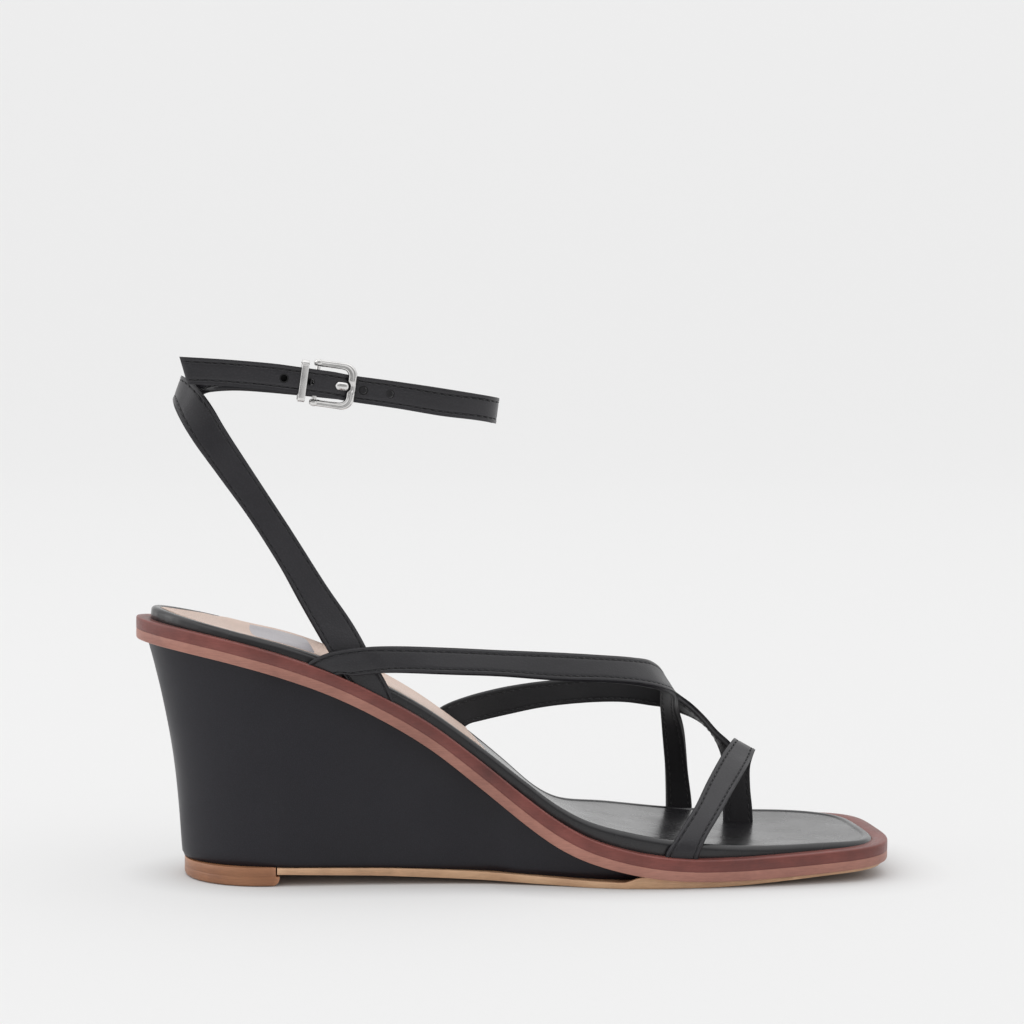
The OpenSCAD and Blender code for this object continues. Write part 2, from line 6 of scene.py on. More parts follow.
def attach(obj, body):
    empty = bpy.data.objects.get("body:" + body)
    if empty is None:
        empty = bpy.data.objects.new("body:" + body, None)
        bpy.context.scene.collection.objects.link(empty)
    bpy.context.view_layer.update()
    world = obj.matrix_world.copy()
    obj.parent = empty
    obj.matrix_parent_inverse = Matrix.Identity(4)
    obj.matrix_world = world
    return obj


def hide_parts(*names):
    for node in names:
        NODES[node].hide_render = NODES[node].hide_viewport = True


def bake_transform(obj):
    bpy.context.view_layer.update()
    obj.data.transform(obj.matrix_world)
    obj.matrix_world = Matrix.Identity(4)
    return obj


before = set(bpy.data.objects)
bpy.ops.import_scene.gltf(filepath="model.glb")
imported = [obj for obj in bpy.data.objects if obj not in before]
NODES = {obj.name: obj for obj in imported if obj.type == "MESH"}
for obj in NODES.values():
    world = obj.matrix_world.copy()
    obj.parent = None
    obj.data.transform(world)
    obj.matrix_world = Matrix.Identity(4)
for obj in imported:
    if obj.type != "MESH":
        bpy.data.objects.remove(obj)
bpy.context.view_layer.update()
rng = random.Random(7)

# ------------------------------------------------------------------ curves shared with the CAD (mm)
edge_out, edge_t, edge_split, board_t, cover_t, wrap_t = 4.8, 6.9, 0.54, 2.0, 1.0, 1.0
rim_t = [[-122, 87.4], [-105, 83], [-90, 79.3], [-75, 75.4], [-60, 70.3], [-45, 63.4], [-30, 54.9],
    [-15, 44.2], [0, 32.6], [10, 25.2], [20, 20.2], [35, 16.4], [50, 13.9], [65, 12.5], [80, 12], [100, 12.1], [122, 11.8]]
edge_top_t = [[-122, 82.6], [-105, 79.7], [-90, 76.5], [-75, 72.3], [-60, 66.8], [-45, 59.6], [-30, 51.0],
    [-15, 39.9], [0, 27.9], [10, 20.7], [20, 15.4], [35, 11.2], [50, 9.3], [65, 9], [80, 9.5], [100, 10.4], [122, 11.6]]
edge_depth_t = [[-122, 1], [-75, 1.02], [-45, 1.06], [-30, 1.14], [-15, 1.22], [0, 1.24], [10, 1.2], [20, 1.08], [35, 1.02], [50, 1], [92, 0.98], [122, 0.9]]
wedge_base_t = [[-112, 6.2], [-45, 5.4], [-20, 4.4], [0, 3.3], [18, 2.3], [42, 1.9]]
ground_t = [[-76, 3.7], [-60, 3.3], [-45, 2.9], [-20, 1.7], [4, 0.5], [20, 0], [30, 0], [50, 0], [58, 0], [68, 0.4], [82, 1.3], [100, 2.6], [122, 4]]
plan_t = [[-122, 26.5, 25.5], [-95, 26.5, 25.5], [-69, 26.5, 25], [-39, 26.5, 21], [-16, 27.5, 20.5], [8, 31, 24.5],
    [26, 35, 31], [42, 36.5, 36.5], [56, 36, 38.5], [77, 34, 38], [93, 31.5, 36], [122, 26.5, 31]]
heel_x, toe_x, mid_y = -115.7, 115.7, -0.75


def curve(t, x, k=1):
    i = 0
    while i < len(t) - 2 and x >= t[i + 1][0]:
        i += 1
    def d(j):
        if j == 0:
            return (t[1][k] - t[0][k]) / (t[1][0] - t[0][0])
        if j == len(t) - 1:
            return (t[j][k] - t[j - 1][k]) / (t[j][0] - t[j - 1][0])
        return (t[j + 1][k] - t[j - 1][k]) / (t[j + 1][0] - t[j - 1][0])
    h = t[i + 1][0] - t[i][0]
    u = min(max((x - t[i][0]) / h, 0), 1)
    a, b, ma, mb = t[i][k], t[i + 1][k], d(i) * h, d(i + 1) * h
    return a * (2 * u**3 - 3 * u * u + 1) + ma * (u**3 - 2 * u * u + u) + b * (3 * u * u - 2 * u**3) + mb * (u**3 - u * u)


def z_rim(x): return curve(rim_t, x)
def z_top(x): return curve(edge_top_t, x)
def z_mid(x): return z_top(x) - edge_t * edge_split * curve(edge_depth_t, x)
def z_low(x): return z_top(x) - edge_t * curve(edge_depth_t, x)
def z_base(x): return curve(wedge_base_t, x)
def z_ground(x): return max(0, curve(ground_t, x))


def round_end(d, a, p):
    return 1.0 if d >= a else 0.0 if d <= 0 else (1 - ((a - d) / a) ** p) ** (1 / p)


def lat(x, e=0.0):
    return mid_y - (curve(plan_t, x, 1) + e) * round_end(x - heel_x + e, 42 + e, 2) * round_end(toe_x + e - x, 19 + e, 3.4)


def med(x, e=0.0):
    return mid_y + (curve(plan_t, x, 2) + e) * round_end(x - heel_x + e, 42 + e, 2) * round_end(toe_x + e - x, 48 + e, 4.2)


back_t = [[0, -105.7], [0.25, -107], [0.5, -109], [0.75, -112.3], [0.9, -114.8], [1, -116.7]]
wedge_front = 41.0


def wx(s, v):
    b = curve(back_t, v)
    return b + (wedge_front - b) * s


def wz(x, v):
    return z_base(x) + 0.1 + (z_low(min(x, wedge_front)) - 0.15 - z_base(x) - 0.1) * v


def wy(sd, s, v, e=0.0):
    x = wx(s, v)
    y = curve(plan_t, x, 1 if sd < 0 else 2)
    out = -0.9 - 0.9 * (1 - v)
    w = min(y, 26.5 + 40 * max(0, (x + 10) / 60) ** 1.3) + out
    return mid_y + sd * w * round_end(wx(s, v) - wx(0, v), 36, 2) - sd * e


instep_A = [[-60.5, -29.2, 64.2], [-58.4, -30.25, 67], [-54, -30.3, 66.3], [-49.5, -30.3, 66.8], [-45, -30.2, 67], [-38.5, -28.7, 66.8], [-24, -25.8, 65.9],
    [-7.5, -22, 64.8], [11.5, -16, 62.6], [28, -10.5, 61.3], [40.5, -4, 59.4], [49.5, 3.5, 56.8], [55.5, 14, 53.5], [58.5, 25.5, 47.5],
    [62.3, 32, 38.5], [65.2, 37.5, 23.5], [66.8, 39.1, 13.5], [66.8, 39.1, 6]]
instep_B = [[-69, -28.9, 68.8], [-67, -29.6, 71], [-62.5, -30.2, 73.2], [-57.5, -30.25, 74.3], [-50.5, -30.1, 75.1], [-39.5, -26.8, 74.8], [-23.5, -22, 73.5],
    [-7.3, -18, 72.2], [11.8, -12, 70.7], [27, -6, 69], [38, 1, 67.3], [46, 9, 65], [52, 20, 59.3], [54, 30, 49],
    [55.5, 35, 39], [57.4, 38.2, 24], [58, 39.1, 13.6], [58, 39.1, 6]]
arch_A = [[-26, 21.3, 44.8], [-20.5, 22.5, 49.5], [-12.5, 24.2, 52.3], [-1.3, 26, 54.8], [10, 27.6, 56.4], [20, 28.8, 57.2], [31.5, 30, 58.2],
    [42, 31.5, 58.2], [50.5, 32.5, 56.6], [56, 32.2, 54.2], [60, 30.5, 50.9], [63.4, 27.5, 48.3], [66.9, 23.5, 44.7], [70.6, 19.4, 40.2],
    [76, 17.8, 35.2], [79.4, 17, 26.8], [81.4, 16.9, 18.9], [82.6, 16.9, 9.4]]
arch_B = [[-16, 21.8, 38.6], [-12.5, 22.8, 43], [-7, 24.8, 44.4], [2.5, 26.8, 46.2], [12, 28.2, 47.9], [21.5, 29.5, 48.9], [32.5, 31, 49.4],
    [42, 32.6, 49.1], [51, 34.6, 47.7], [57, 35.6, 46.8], [62.2, 35, 45.2], [66.3, 33, 43.8], [70, 30, 41.4], [72.6, 26.6, 37.5],
    [73.8, 22.5, 31.4], [72.8, 19.2, 24.5], [73, 17.4, 18.1], [73.2, 16.9, 9.4]]
toe_A = [[53, -38.4, 5.6], [53, -38.4, 9], [54.6, -38, 13], [57.4, -35.3, 16.8], [61.5, -30, 20.8], [67.2, -20.5, 25.8], [74.4, -7.5, 31.1],
    [78.5, 1.5, 33.7], [80.8, 7.5, 35.3], [81.8, 11.6, 34.2], [81.2, 14.1, 29.5], [81.4, 14.4, 22.8], [82.2, 14.5, 16], [82.6, 14.5, 9.4]]
toe_B = [[42.8, -38.4, 6.6], [42.8, -38.4, 10.4], [45, -38, 13.8], [49, -34.8, 18.6], [53.9, -28.8, 23.6], [59.5, -18.5, 29.2], [66.5, -5.5, 35.1],
    [71, 3, 37.9], [73.8, 8.5, 39.1], [75, 12.2, 38.1], [74.4, 14.2, 33], [73.4, 14.4, 24], [72.8, 14.5, 16.8], [72.8, 14.5, 9.4]]
sling_low = [[-48.7, -28.9, 72.2], [-50.4, -28.1, 75.3], [-54.9, -25.6, 83], [-62.3, -23.4, 93.8], [-73.2, -20.3, 111], [-83.3, -18, 126.5],
    [-92.7, -15.9, 141], [-96.4, -14.7, 147.5], [-99.8, -12.9, 152.3], [-103.4, -8.2, 156.2], [-105.5, 0, 157.6]]
sling_back = [[-58.2, -28.9, 67.4], [-63.1, -28, 76], [-68.2, -25.6, 85], [-74.9, -22.9, 97.1], [-85.5, -19.9, 113.7], [-94.8, -17.7, 126.5],
    [-102.5, -15.9, 137], [-105.8, -13.7, 142.5], [-107.6, -9.8, 146.8], [-108, -5, 149.2], [-108.1, 0, 150]]
root_low = [[-41, -28.9, 56], [-42.4, -28.9, 61], [-45.2, -28.9, 66.5]]
root_back = [[-51, -28.9, 59.8], [-54, -28.9, 61.8], [-56.2, -28.9, 64.6]]


def side(y, z):
    return -y if z > 140 else -y - 4.6 * (1 - ((z - 60) / 80) ** 2)


def mirrored(P):
    return [[p[0], side(p[1], p[2]), p[2]] for p in P[-2::-1]]


buckle = Vector((-65, -15.35, 156.2))
slope = math.radians(7.5)


def on_line(x): return buckle.z - math.tan(slope) * (x - buckle.x)


ankle_M = [[-66.8, -15.35, on_line(-66.8)], [-72, -15.35, 156.9], [-79, -15.35, 157.5], [-88.5, -15, 158.1], [-95.8, -12.2, 157.6], [-100, -7.5, 156], [-101.8, 0, 155.4],
    [-100, 7.5, 155.7], [-95.6, 12.6, 156.6], [-86, 15.5, 156.9], [-69, 16.5, 155.6], [-49, 16.5, 153.6], [-29, 14.8, 151], [-15, 11.5, 148.9], [-9, 6.8, 147.9],
    [-7, 0, 147.4], [-9, -7, 147.9], [-15, -11.8, 148.9], [-26, -14.8, 150.2], [-39, -16.2, 152.35], [-51, -16.35, on_line(-51) - 0.35],
    [-54.6, -16, on_line(-54.6) - 0.3], [-57.6, -17.25, on_line(-57.6) - 0.2], [-60.2, -18, on_line(-60.2)], [-65, -18.1, on_line(-65)], [-71, -18, on_line(-71)],
    [-79, -18, 158], [-90, -18.1, 158.9], [-98, -18.3, 159.4], [-105.7, -18.5, 159.65]]
ankle_w = 8.2
wv = np.array([math.sin(slope), 0, math.cos(slope)])

# ------------------------------------------------------------------ materials
def new_mat(name):
    m = bpy.data.materials.new(name)
    m.use_nodes = True
    return m, m.node_tree, m.node_tree.nodes["Principled BSDF"]


def nd(nt, kind, **kw):
    n = nt.nodes.new(kind)
    for k, v in kw.items():
        if k in n.inputs.keys():
            n.inputs[k].default_value = v
        else:
            setattr(n, k, v)
    return n


def ramp(nt, fac, stops):
    r = nt.nodes.new("ShaderNodeValToRGB")
    e = r.color_ramp.elements
    while len(e) < len(stops):
        e.new(0.5)
    for i, (p, c) in enumerate(stops):
        e[i].position = p
        e[i].color = (*c, 1) if len(c) == 3 else c
    nt.links.new(fac, r.inputs[0])
    return r


def grey(v): return (v, v, v)


def leather(name, base, dark, rough=(0.38, 0.5), grain=950, grain_d=0.00006, fold_d=0.0, spec=0.4, wear=None, pore=0.00003, sheen=0.0, coat=0.0, streak=None):
    """Leather: fine pebbled grain, sparse pores, soft creases, uneven gloss, lighter wear on high spots."""
    m, nt, b = new_mat(name)
    L = nt.links.new
    co = nd(nt, "ShaderNodeTexCoord")
    n1 = nd(nt, "ShaderNodeTexNoise", Scale=24.0, Detail=5.0, Roughness=0.55)
    n2 = nd(nt, "ShaderNodeTexNoise", Scale=210.0, Detail=4.0, Roughness=0.6)
    vo = nd(nt, "ShaderNodeTexVoronoi", Scale=float(grain), feature="DISTANCE_TO_EDGE")
    vo.inputs["Randomness"].default_value = 0.9
    v2 = nd(nt, "ShaderNodeTexVoronoi", Scale=float(grain) * 0.42)
    mw = nd(nt, "ShaderNodeTexNoise", Scale=70.0, Detail=2.0)
    for n in (n1, n2, mw):
        L(co.outputs["Object"], n.inputs["Vector"])
    # the grain cells are bent by noise so they don't look drawn
    add = nd(nt, "ShaderNodeVectorMath", operation="MULTIPLY_ADD")
    L(n2.outputs["Color"], add.inputs[0])
    add.inputs[1].default_value = (0.0016,) * 3
    L(co.outputs["Object"], add.inputs[2])
    L(add.outputs[0], vo.inputs["Vector"])
    L(add.outputs[0], v2.inputs["Vector"])
    cr_ = ramp(nt, n1.outputs["Fac"], [(0.3, dark), (0.62, base)])
    c2 = nd(nt, "ShaderNodeMix", data_type="RGBA", blend_type="MULTIPLY")
    c2.inputs[0].default_value = 0.5
    L(cr_.outputs["Color"], c2.inputs[6])
    g = ramp(nt, vo.outputs["Distance"], [(0.0, grey(0.55)), (0.22, grey(1.0))])
    L(g.outputs["Color"], c2.inputs[7])
    last = c2.outputs[2]
    if wear:
        geo = nd(nt, "ShaderNodeNewGeometry")
        w = ramp(nt, geo.outputs["Pointiness"], [(0.5, grey(0)), (0.58, grey(1))])
        wn = nd(nt, "ShaderNodeMath", operation="MULTIPLY")
        L(w.outputs["Color"], wn.inputs[0])
        L(n2.outputs["Fac"], wn.inputs[1])
        c3 = nd(nt, "ShaderNodeMix", data_type="RGBA")
        L(wn.outputs[0], c3.inputs[0])
        L(last, c3.inputs[6])
        c3.inputs[7].default_value = (*wear, 1)
        last = c3.outputs[2]
    L(last, b.inputs["Base Color"])
    rr = ramp(nt, mw.outputs["Fac"], [(0.3, grey(rough[0])), (0.72, grey(rough[1]))])
    L(rr.outputs["Color"], b.inputs["Roughness"])
    bp = nd(nt, "ShaderNodeBump", Strength=0.75, Distance=grain_d)
    L(vo.outputs["Distance"], bp.inputs["Height"])
    pr = ramp(nt, v2.outputs["Distance"], [(0.0, grey(0)), (0.16, grey(1))])
    b2 = nd(nt, "ShaderNodeBump", Strength=0.6, Distance=pore)
    L(pr.outputs["Color"], b2.inputs["Height"])
    L(bp.outputs["Normal"], b2.inputs["Normal"])
    b3 = nd(nt, "ShaderNodeBump", Strength=0.5, Distance=0.0002 + fold_d)
    L(mw.outputs["Fac"], b3.inputs["Height"])
    L(b2.outputs["Normal"], b3.inputs["Normal"])
    L(b3.outputs["Normal"], b.inputs["Normal"])
    b.inputs["Specular IOR Level"].default_value = spec
    if sheen:
        b.inputs["Sheen Weight"].default_value = sheen
        b.inputs["Sheen Roughness"].default_value = 0.4
    if coat:
        b.inputs["Coat Weight"].default_value = coat
        b.inputs["Coat Roughness"].default_value = 0.3
    return m


def edge_mat(name, light, mid, dark, rough=(0.3, 0.45), coat=0.25, streak=26.0, spec=0.5):
    """Trimmed and burnished leather edge: thin strata along the edge, inky mottling, waxy gloss, and a painted
    highlight on the rounded corners.
    """
    m, nt, b = new_mat(name)
    L = nt.links.new
    co = nd(nt, "ShaderNodeTexCoord")
    mp = nd(nt, "ShaderNodeMapping")
    mp.inputs["Scale"].default_value = (0.14, 0.14, 1.0)
    uv = nd(nt, "ShaderNodeUVMap")
    uv.uv_map = "along"
    L(uv.outputs["UV"], mp.inputs["Vector"])
    mp.inputs["Scale"].default_value = (0.09, 1.0, 1.0)
    n1 = nd(nt, "ShaderNodeTexNoise", Scale=2600.0, Detail=4.0, Roughness=0.65)
    n2 = nd(nt, "ShaderNodeTexNoise", Scale=55.0, Detail=5.0, Roughness=0.6)
    n3 = nd(nt, "ShaderNodeTexNoise", Scale=900.0, Detail=3.0, Roughness=0.7)
    n4 = nd(nt, "ShaderNodeTexNoise", Scale=16.0, Detail=2.0, Roughness=0.5)
    L(mp.outputs["Vector"], n1.inputs["Vector"])
    for n in (n2, n3, n4):
        L(co.outputs["Object"], n.inputs["Vector"])
    c1 = ramp(nt, n2.outputs["Fac"], [(0.28, dark), (0.5, mid), (0.74, light)])
    c2 = nd(nt, "ShaderNodeMix", data_type="RGBA", blend_type="MULTIPLY")
    c2.inputs[0].default_value = 0.55
    s = ramp(nt, n1.outputs["Fac"], [(0.32, grey(0.62)), (0.6, grey(1.0))])
    L(c1.outputs["Color"], c2.inputs[6])
    L(s.outputs["Color"], c2.inputs[7])
    c3 = nd(nt, "ShaderNodeMix", data_type="RGBA", blend_type="OVERLAY")
    c3.inputs[0].default_value = 0.35
    L(c2.outputs[2], c3.inputs[6])
    L(n4.outputs["Fac"], c3.inputs[7])
    # painted highlight: convex corners are mixed toward a paler tone along the rounded edges
    geo = nd(nt, "ShaderNodeNewGeometry")
    w = ramp(nt, geo.outputs["Pointiness"], [(0.505, grey(0)), (0.6, grey(0.55))])
    c4 = nd(nt, "ShaderNodeMix", data_type="RGBA")
    L(w.outputs["Color"], c4.inputs[0])
    L(c3.outputs[2], c4.inputs[6])
    c4.inputs[7].default_value = (*[min(1, 1.35 * q + 0.05) for q in light], 1)
    L(c4.outputs[2], b.inputs["Base Color"])
    rr = ramp(nt, n3.outputs["Fac"], [(0.3, grey(rough[0])), (0.7, grey(rough[1]))])
    L(rr.outputs["Color"], b.inputs["Roughness"])
    b1 = nd(nt, "ShaderNodeBump", Strength=0.55, Distance=0.00009)
    L(n1.outputs["Fac"], b1.inputs["Height"])
    b2 = nd(nt, "ShaderNodeBump", Strength=0.4, Distance=0.0001)
    L(n3.outputs["Fac"], b2.inputs["Height"])
    L(b1.outputs["Normal"], b2.inputs["Normal"])
    L(b2.outputs["Normal"], b.inputs["Normal"])
    b.inputs["Specular IOR Level"].default_value = spec
    b.inputs["Coat Weight"].default_value = coat
    b.inputs["Coat Roughness"].default_value = 0.22
    return m


def metal(name, base, rough=(0.14, 0.3), brush=1400.0, pit=0.00001):
    """Plated metal: fine polishing lines, faint pits and smudges, and painted shade in concave places."""
    m, nt, b = new_mat(name)
    L = nt.links.new
    co = nd(nt, "ShaderNodeTexCoord")
    mp = nd(nt, "ShaderNodeMapping")
    mp.inputs["Scale"].default_value = (1.0, 1.0, 0.12)
    L(co.outputs["Object"], mp.inputs["Vector"])
    n1 = nd(nt, "ShaderNodeTexNoise", Scale=brush * 3, Detail=3.0, Roughness=0.6)
    n2 = nd(nt, "ShaderNodeTexNoise", Scale=320.0, Detail=4.0, Roughness=0.6)
    L(mp.outputs["Vector"], n1.inputs["Vector"])
    L(co.outputs["Object"], n2.inputs["Vector"])
    cc = ramp(nt, n2.outputs["Fac"], [(0.3, [q * 0.82 for q in base]), (0.65, base)])
    # painted shade: concave places get a darker base colour
    geo = nd(nt, "ShaderNodeNewGeometry")
    w = ramp(nt, geo.outputs["Pointiness"], [(0.42, grey(0.45)), (0.5, grey(1.0))])
    c2 = nd(nt, "ShaderNodeMix", data_type="RGBA", blend_type="MULTIPLY")
    c2.inputs[0].default_value = 0.8
    L(cc.outputs["Color"], c2.inputs[6])
    L(w.outputs["Color"], c2.inputs[7])
    L(c2.outputs[2], b.inputs["Base Color"])
    rr = ramp(nt, n2.outputs["Fac"], [(0.35, grey(rough[0])), (0.7, grey(rough[1]))])
    L(rr.outputs["Color"], b.inputs["Roughness"])
    b1 = nd(nt, "ShaderNodeBump", Strength=0.35, Distance=pit)
    L(n1.outputs["Fac"], b1.inputs["Height"])
    L(b1.outputs["Normal"], b.inputs["Normal"])
    b.inputs["Metallic"].default_value = 1.0
    return m


def thread_mat(name, base):
    m, nt, b = new_mat(name)
    L = nt.links.new
    co = nd(nt, "ShaderNodeTexCoord")
    wv_ = nd(nt, "ShaderNodeTexWave", Scale=900.0, Distortion=2.0, Detail=1.0)
    L(co.outputs["Object"], wv_.inputs["Vector"])
    c = ramp(nt, wv_.outputs["Color"], [(0.2, [q * 0.5 for q in base]), (0.8, base)])
    L(c.outputs["Color"], b.inputs["Base Color"])
    n2 = nd(nt, "ShaderNodeTexNoise", Scale=1500.0, Detail=2.0)
    L(co.outputs["Object"], n2.inputs["Vector"])
    r = ramp(nt, n2.outputs["Fac"], [(0.3, grey(0.45)), (0.7, grey(0.7))])
    L(r.outputs["Color"], b.inputs["Roughness"])
    b1 = nd(nt, "ShaderNodeBump", Strength=0.6, Distance=0.00005)
    L(wv_.outputs["Color"], b1.inputs["Height"])
    L(b1.outputs["Normal"], b.inputs["Normal"])
    b.inputs["Sheen Weight"].default_value = 0.2
    return m


def fibre_mat(name, a, c, scale=160.0, dist=0.0003, rough=(0.7, 0.92)):
    """Cork, fibre board or foam: granules and speckle."""
    m, nt, b = new_mat(name)
    L = nt.links.new
    co = nd(nt, "ShaderNodeTexCoord")
    vo = nd(nt, "ShaderNodeTexVoronoi", Scale=scale * 2)
    n = nd(nt, "ShaderNodeTexNoise", Scale=scale, Detail=6.0, Roughness=0.7)
    L(co.outputs["Object"], vo.inputs["Vector"])
    L(co.outputs["Object"], n.inputs["Vector"])
    k = ramp(nt, n.outputs["Fac"], [(0.3, c), (0.65, a)])
    x = nd(nt, "ShaderNodeMix", data_type="RGBA", blend_type="MULTIPLY")
    x.inputs[0].default_value = 0.4
    L(k.outputs["Color"], x.inputs[6])
    L(vo.outputs["Distance"], x.inputs[7])
    L(x.outputs[2], b.inputs["Base Color"])
    r = ramp(nt, n.outputs["Fac"], [(0.3, grey(rough[0])), (0.7, grey(rough[1]))])
    L(r.outputs["Color"], b.inputs["Roughness"])
    bp = nd(nt, "ShaderNodeBump", Strength=0.6, Distance=dist)
    L(vo.outputs["Distance"], bp.inputs["Height"])
    L(bp.outputs["Normal"], b.inputs["Normal"])
    return m


M = {
    "wrap": leather("wedge_wrap_leather", (0.0128, 0.0119, 0.0178), (0.0100, 0.0093, 0.0142), rough=(0.36, 0.46), grain=1500, grain_d=0.00003, pore=0.00001, spec=0.36),
    "footbed": leather("footbed_leather", (0.013, 0.0125, 0.0145), (0.010, 0.0095, 0.0115), rough=(0.22, 0.31), grain=1300, grain_d=0.000015, pore=0.000006, spec=0.5, coat=0.35, fold_d=-0.00016),
    # the label sheet's light grey-lilac colour is a painted highlight on the heel seat
    "painted_highlight_sheet": leather("painted_highlight_sheet_leather", (0.50, 0.47, 0.50), (0.43, 0.40, 0.43), rough=(0.3, 0.4), grain=1700, grain_d=0.00002, pore=0.00001, spec=0.5),
    "strap": leather("strap_leather", (0.0215, 0.0203, 0.0245), (0.0145, 0.0137, 0.0168), rough=(0.28, 0.44), grain=1100, grain_d=0.0001, pore=0.00002, spec=0.5),
    "lining": leather("strap_lining_leather", (0.023, 0.022, 0.0245), (0.017, 0.0165, 0.018), rough=(0.46, 0.6), grain=1500, grain_d=0.00005, pore=0.00003, spec=0.35),
    "sock": leather("sock_lining_leather", (0.84, 0.66, 0.57), (0.78, 0.60, 0.51), rough=(0.5, 0.66), grain=1700, grain_d=0.00004, pore=0.00003, spec=0.35),
    "edge_dark": edge_mat("edge_burnished", (0.252, 0.066, 0.052), (0.162, 0.037, 0.028), (0.092, 0.022, 0.018), rough=(0.38, 0.52), coat=0.1),
    "edge_tan": edge_mat("edge_natural", (0.46, 0.215, 0.163), (0.375, 0.163, 0.122), (0.27, 0.11, 0.085), rough=(0.4, 0.55), coat=0.05),
    "outsole": edge_mat("sole_leather", (0.74, 0.455, 0.275), (0.63, 0.375, 0.215), (0.48, 0.27, 0.15), rough=(0.4, 0.55), coat=0.08),
    "lift": edge_mat("lift_leather", (0.435, 0.195, 0.092), (0.36, 0.15, 0.068), (0.25, 0.10, 0.05), rough=(0.36, 0.5), coat=0.12),
    "metal": metal("buckle_nickel", (0.78, 0.77, 0.76), rough=(0.1, 0.2)),
    "steel": metal("plain_steel", (0.45, 0.45, 0.46), rough=(0.3, 0.5)),
    "thread": thread_mat("waxed_thread", (0.012, 0.012, 0.014)),
    "hole": leather("hole_edge_leather", (0.01, 0.01, 0.011), (0.006, 0.006, 0.007), rough=(0.5, 0.7), grain=1500, spec=0.3),
    "cork": fibre_mat("wedge_core_block", (0.42, 0.30, 0.2), (0.26, 0.17, 0.1)),
    "board": fibre_mat("fibre_board", (0.5, 0.4, 0.28), (0.4, 0.3, 0.2), scale=500.0, dist=0.0001),
    "foam": fibre_mat("footbed_foam_layer", (0.72, 0.66, 0.5), (0.6, 0.54, 0.4), scale=900.0, dist=0.0001),
}


# ------------------------------------------------------------------ mesh helpers
def make(name, verts, faces, mats, fmat=None, smooth=True, uv=None, sharp=None):
    me = bpy.data.meshes.new(name)
    me.from_pydata([tuple(float(c) * 0.001 for c in v) for v in verts], [], [tuple(int(i) for i in f) for f in faces])
    for m in (mats if isinstance(mats, (list, tuple)) else [mats]):
        me.materials.append(m)
    if fmat is not None:
        for p, i in zip(me.polygons, fmat):
            p.material_index = int(i)
    if uv is not None:
        lay = me.uv_layers.new(name="along")
        for lp in me.loops:
            lay.data[lp.index].uv = uv[lp.vertex_index]
    me.validate()
    bm = bmesh.new()
    bm.from_mesh(me)
    bmesh.ops.recalc_face_normals(bm, faces=bm.faces)
    bm.to_mesh(me)
    bm.free()
    me.polygons.foreach_set("use_smooth", [smooth] * len(me.polygons))
    if sharp is not None:
        me.set_sharp_from_angle(angle=math.radians(sharp))
    ob = bpy.data.objects.new(name, me)
    bpy.context.scene.collection.objects.link(ob)
    return ob


def loft(rings, close_u=True, cap=True):
    """Faces between successive rings of equal length; fan caps at both ends. Returns verts, faces, ring index of faces."""
    R = np.asarray(rings, float)
    m, n = R.shape[:2]
    V = R.reshape(-1, 3).tolist()
    F, tag = [], []
    for j in range(m - 1):
        for i in range(n if close_u else n - 1):
            k = (i + 1) % n
            F.append((j * n + i, j * n + k, (j + 1) * n + k, (j + 1) * n + i))
            tag.append(i)
    if cap:
        for j in (0, m - 1):
            c = len(V)
            V.append(R[j].mean(0).tolist())
            for i in range(n):
                k = (i + 1) % n
                F.append((j * n + i, j * n + k, c))
                tag.append(i)
    return V, F, tag


def outline(e, n=420):
    """Closed plan outline at offset e as n points evenly spaced by arc length: toe, lateral side, heel, medial side."""
    th = np.linspace(0, math.pi, 900)
    xs = (heel_x - e) + (toe_x - heel_x + 2 * e) * (1 - np.cos(th)) / 2
    P = [(x, lat(x, e)) for x in xs[::-1]] + [(x, med(x, e)) for x in xs[1:-1]]
    P = np.array(P)
    Q = np.vstack([P, P[:1]])
    s = np.r_[0, np.cumsum(np.hypot(*np.diff(Q, axis=0).T))]
    t = np.linspace(0, s[-1], n, endpoint=False)
    return np.c_[np.interp(t, s, Q[:, 0]), np.interp(t, s, Q[:, 1])], t


def inset(P, d):
    """Moves a closed outline inward by d along its own normals."""
    t = np.roll(P, -2, 0) - np.roll(P, 2, 0)
    t /= np.linalg.norm(t, axis=1)[:, None]
    nrm = np.c_[t[:, 1], -t[:, 0]]
    c = P.mean(0)
    if np.mean(np.sum(nrm * (P - c), 1)) > 0:
        nrm = -nrm
    return P + nrm * (d[:, None] if isinstance(d, np.ndarray) else d)


def outline2(e, h=270):
    """Closed outline whose point i on the lateral side has its partner 2h - i on the medial side; toe first."""
    th = np.linspace(0, math.pi, 900)
    xs = (heel_x - e) + (toe_x - heel_x + 2 * e) * (1 - np.cos(th)) / 2
    def half(f):
        P = np.array([(x, f(x, e)) for x in xs[::-1]])
        s = np.r_[0, np.cumsum(np.hypot(*np.diff(P, axis=0).T))]
        t = np.linspace(0, s[-1], h + 1)
        return np.c_[np.interp(t, s, P[:, 0]), np.interp(t, s, P[:, 1])]
    A, B = half(lat), half(med)
    return np.vstack([A[:-1], B[::-1][:-1]])


vz = np.vectorize
Z_RIM, Z_TOP, Z_MID, Z_LOW, LAT, MED = vz(z_rim), vz(z_top), vz(z_mid), vz(z_low), vz(lat), vz(med)


def smooth01(t):
    t = np.clip(t, 0, 1)
    return t * t * (3 - 2 * t)


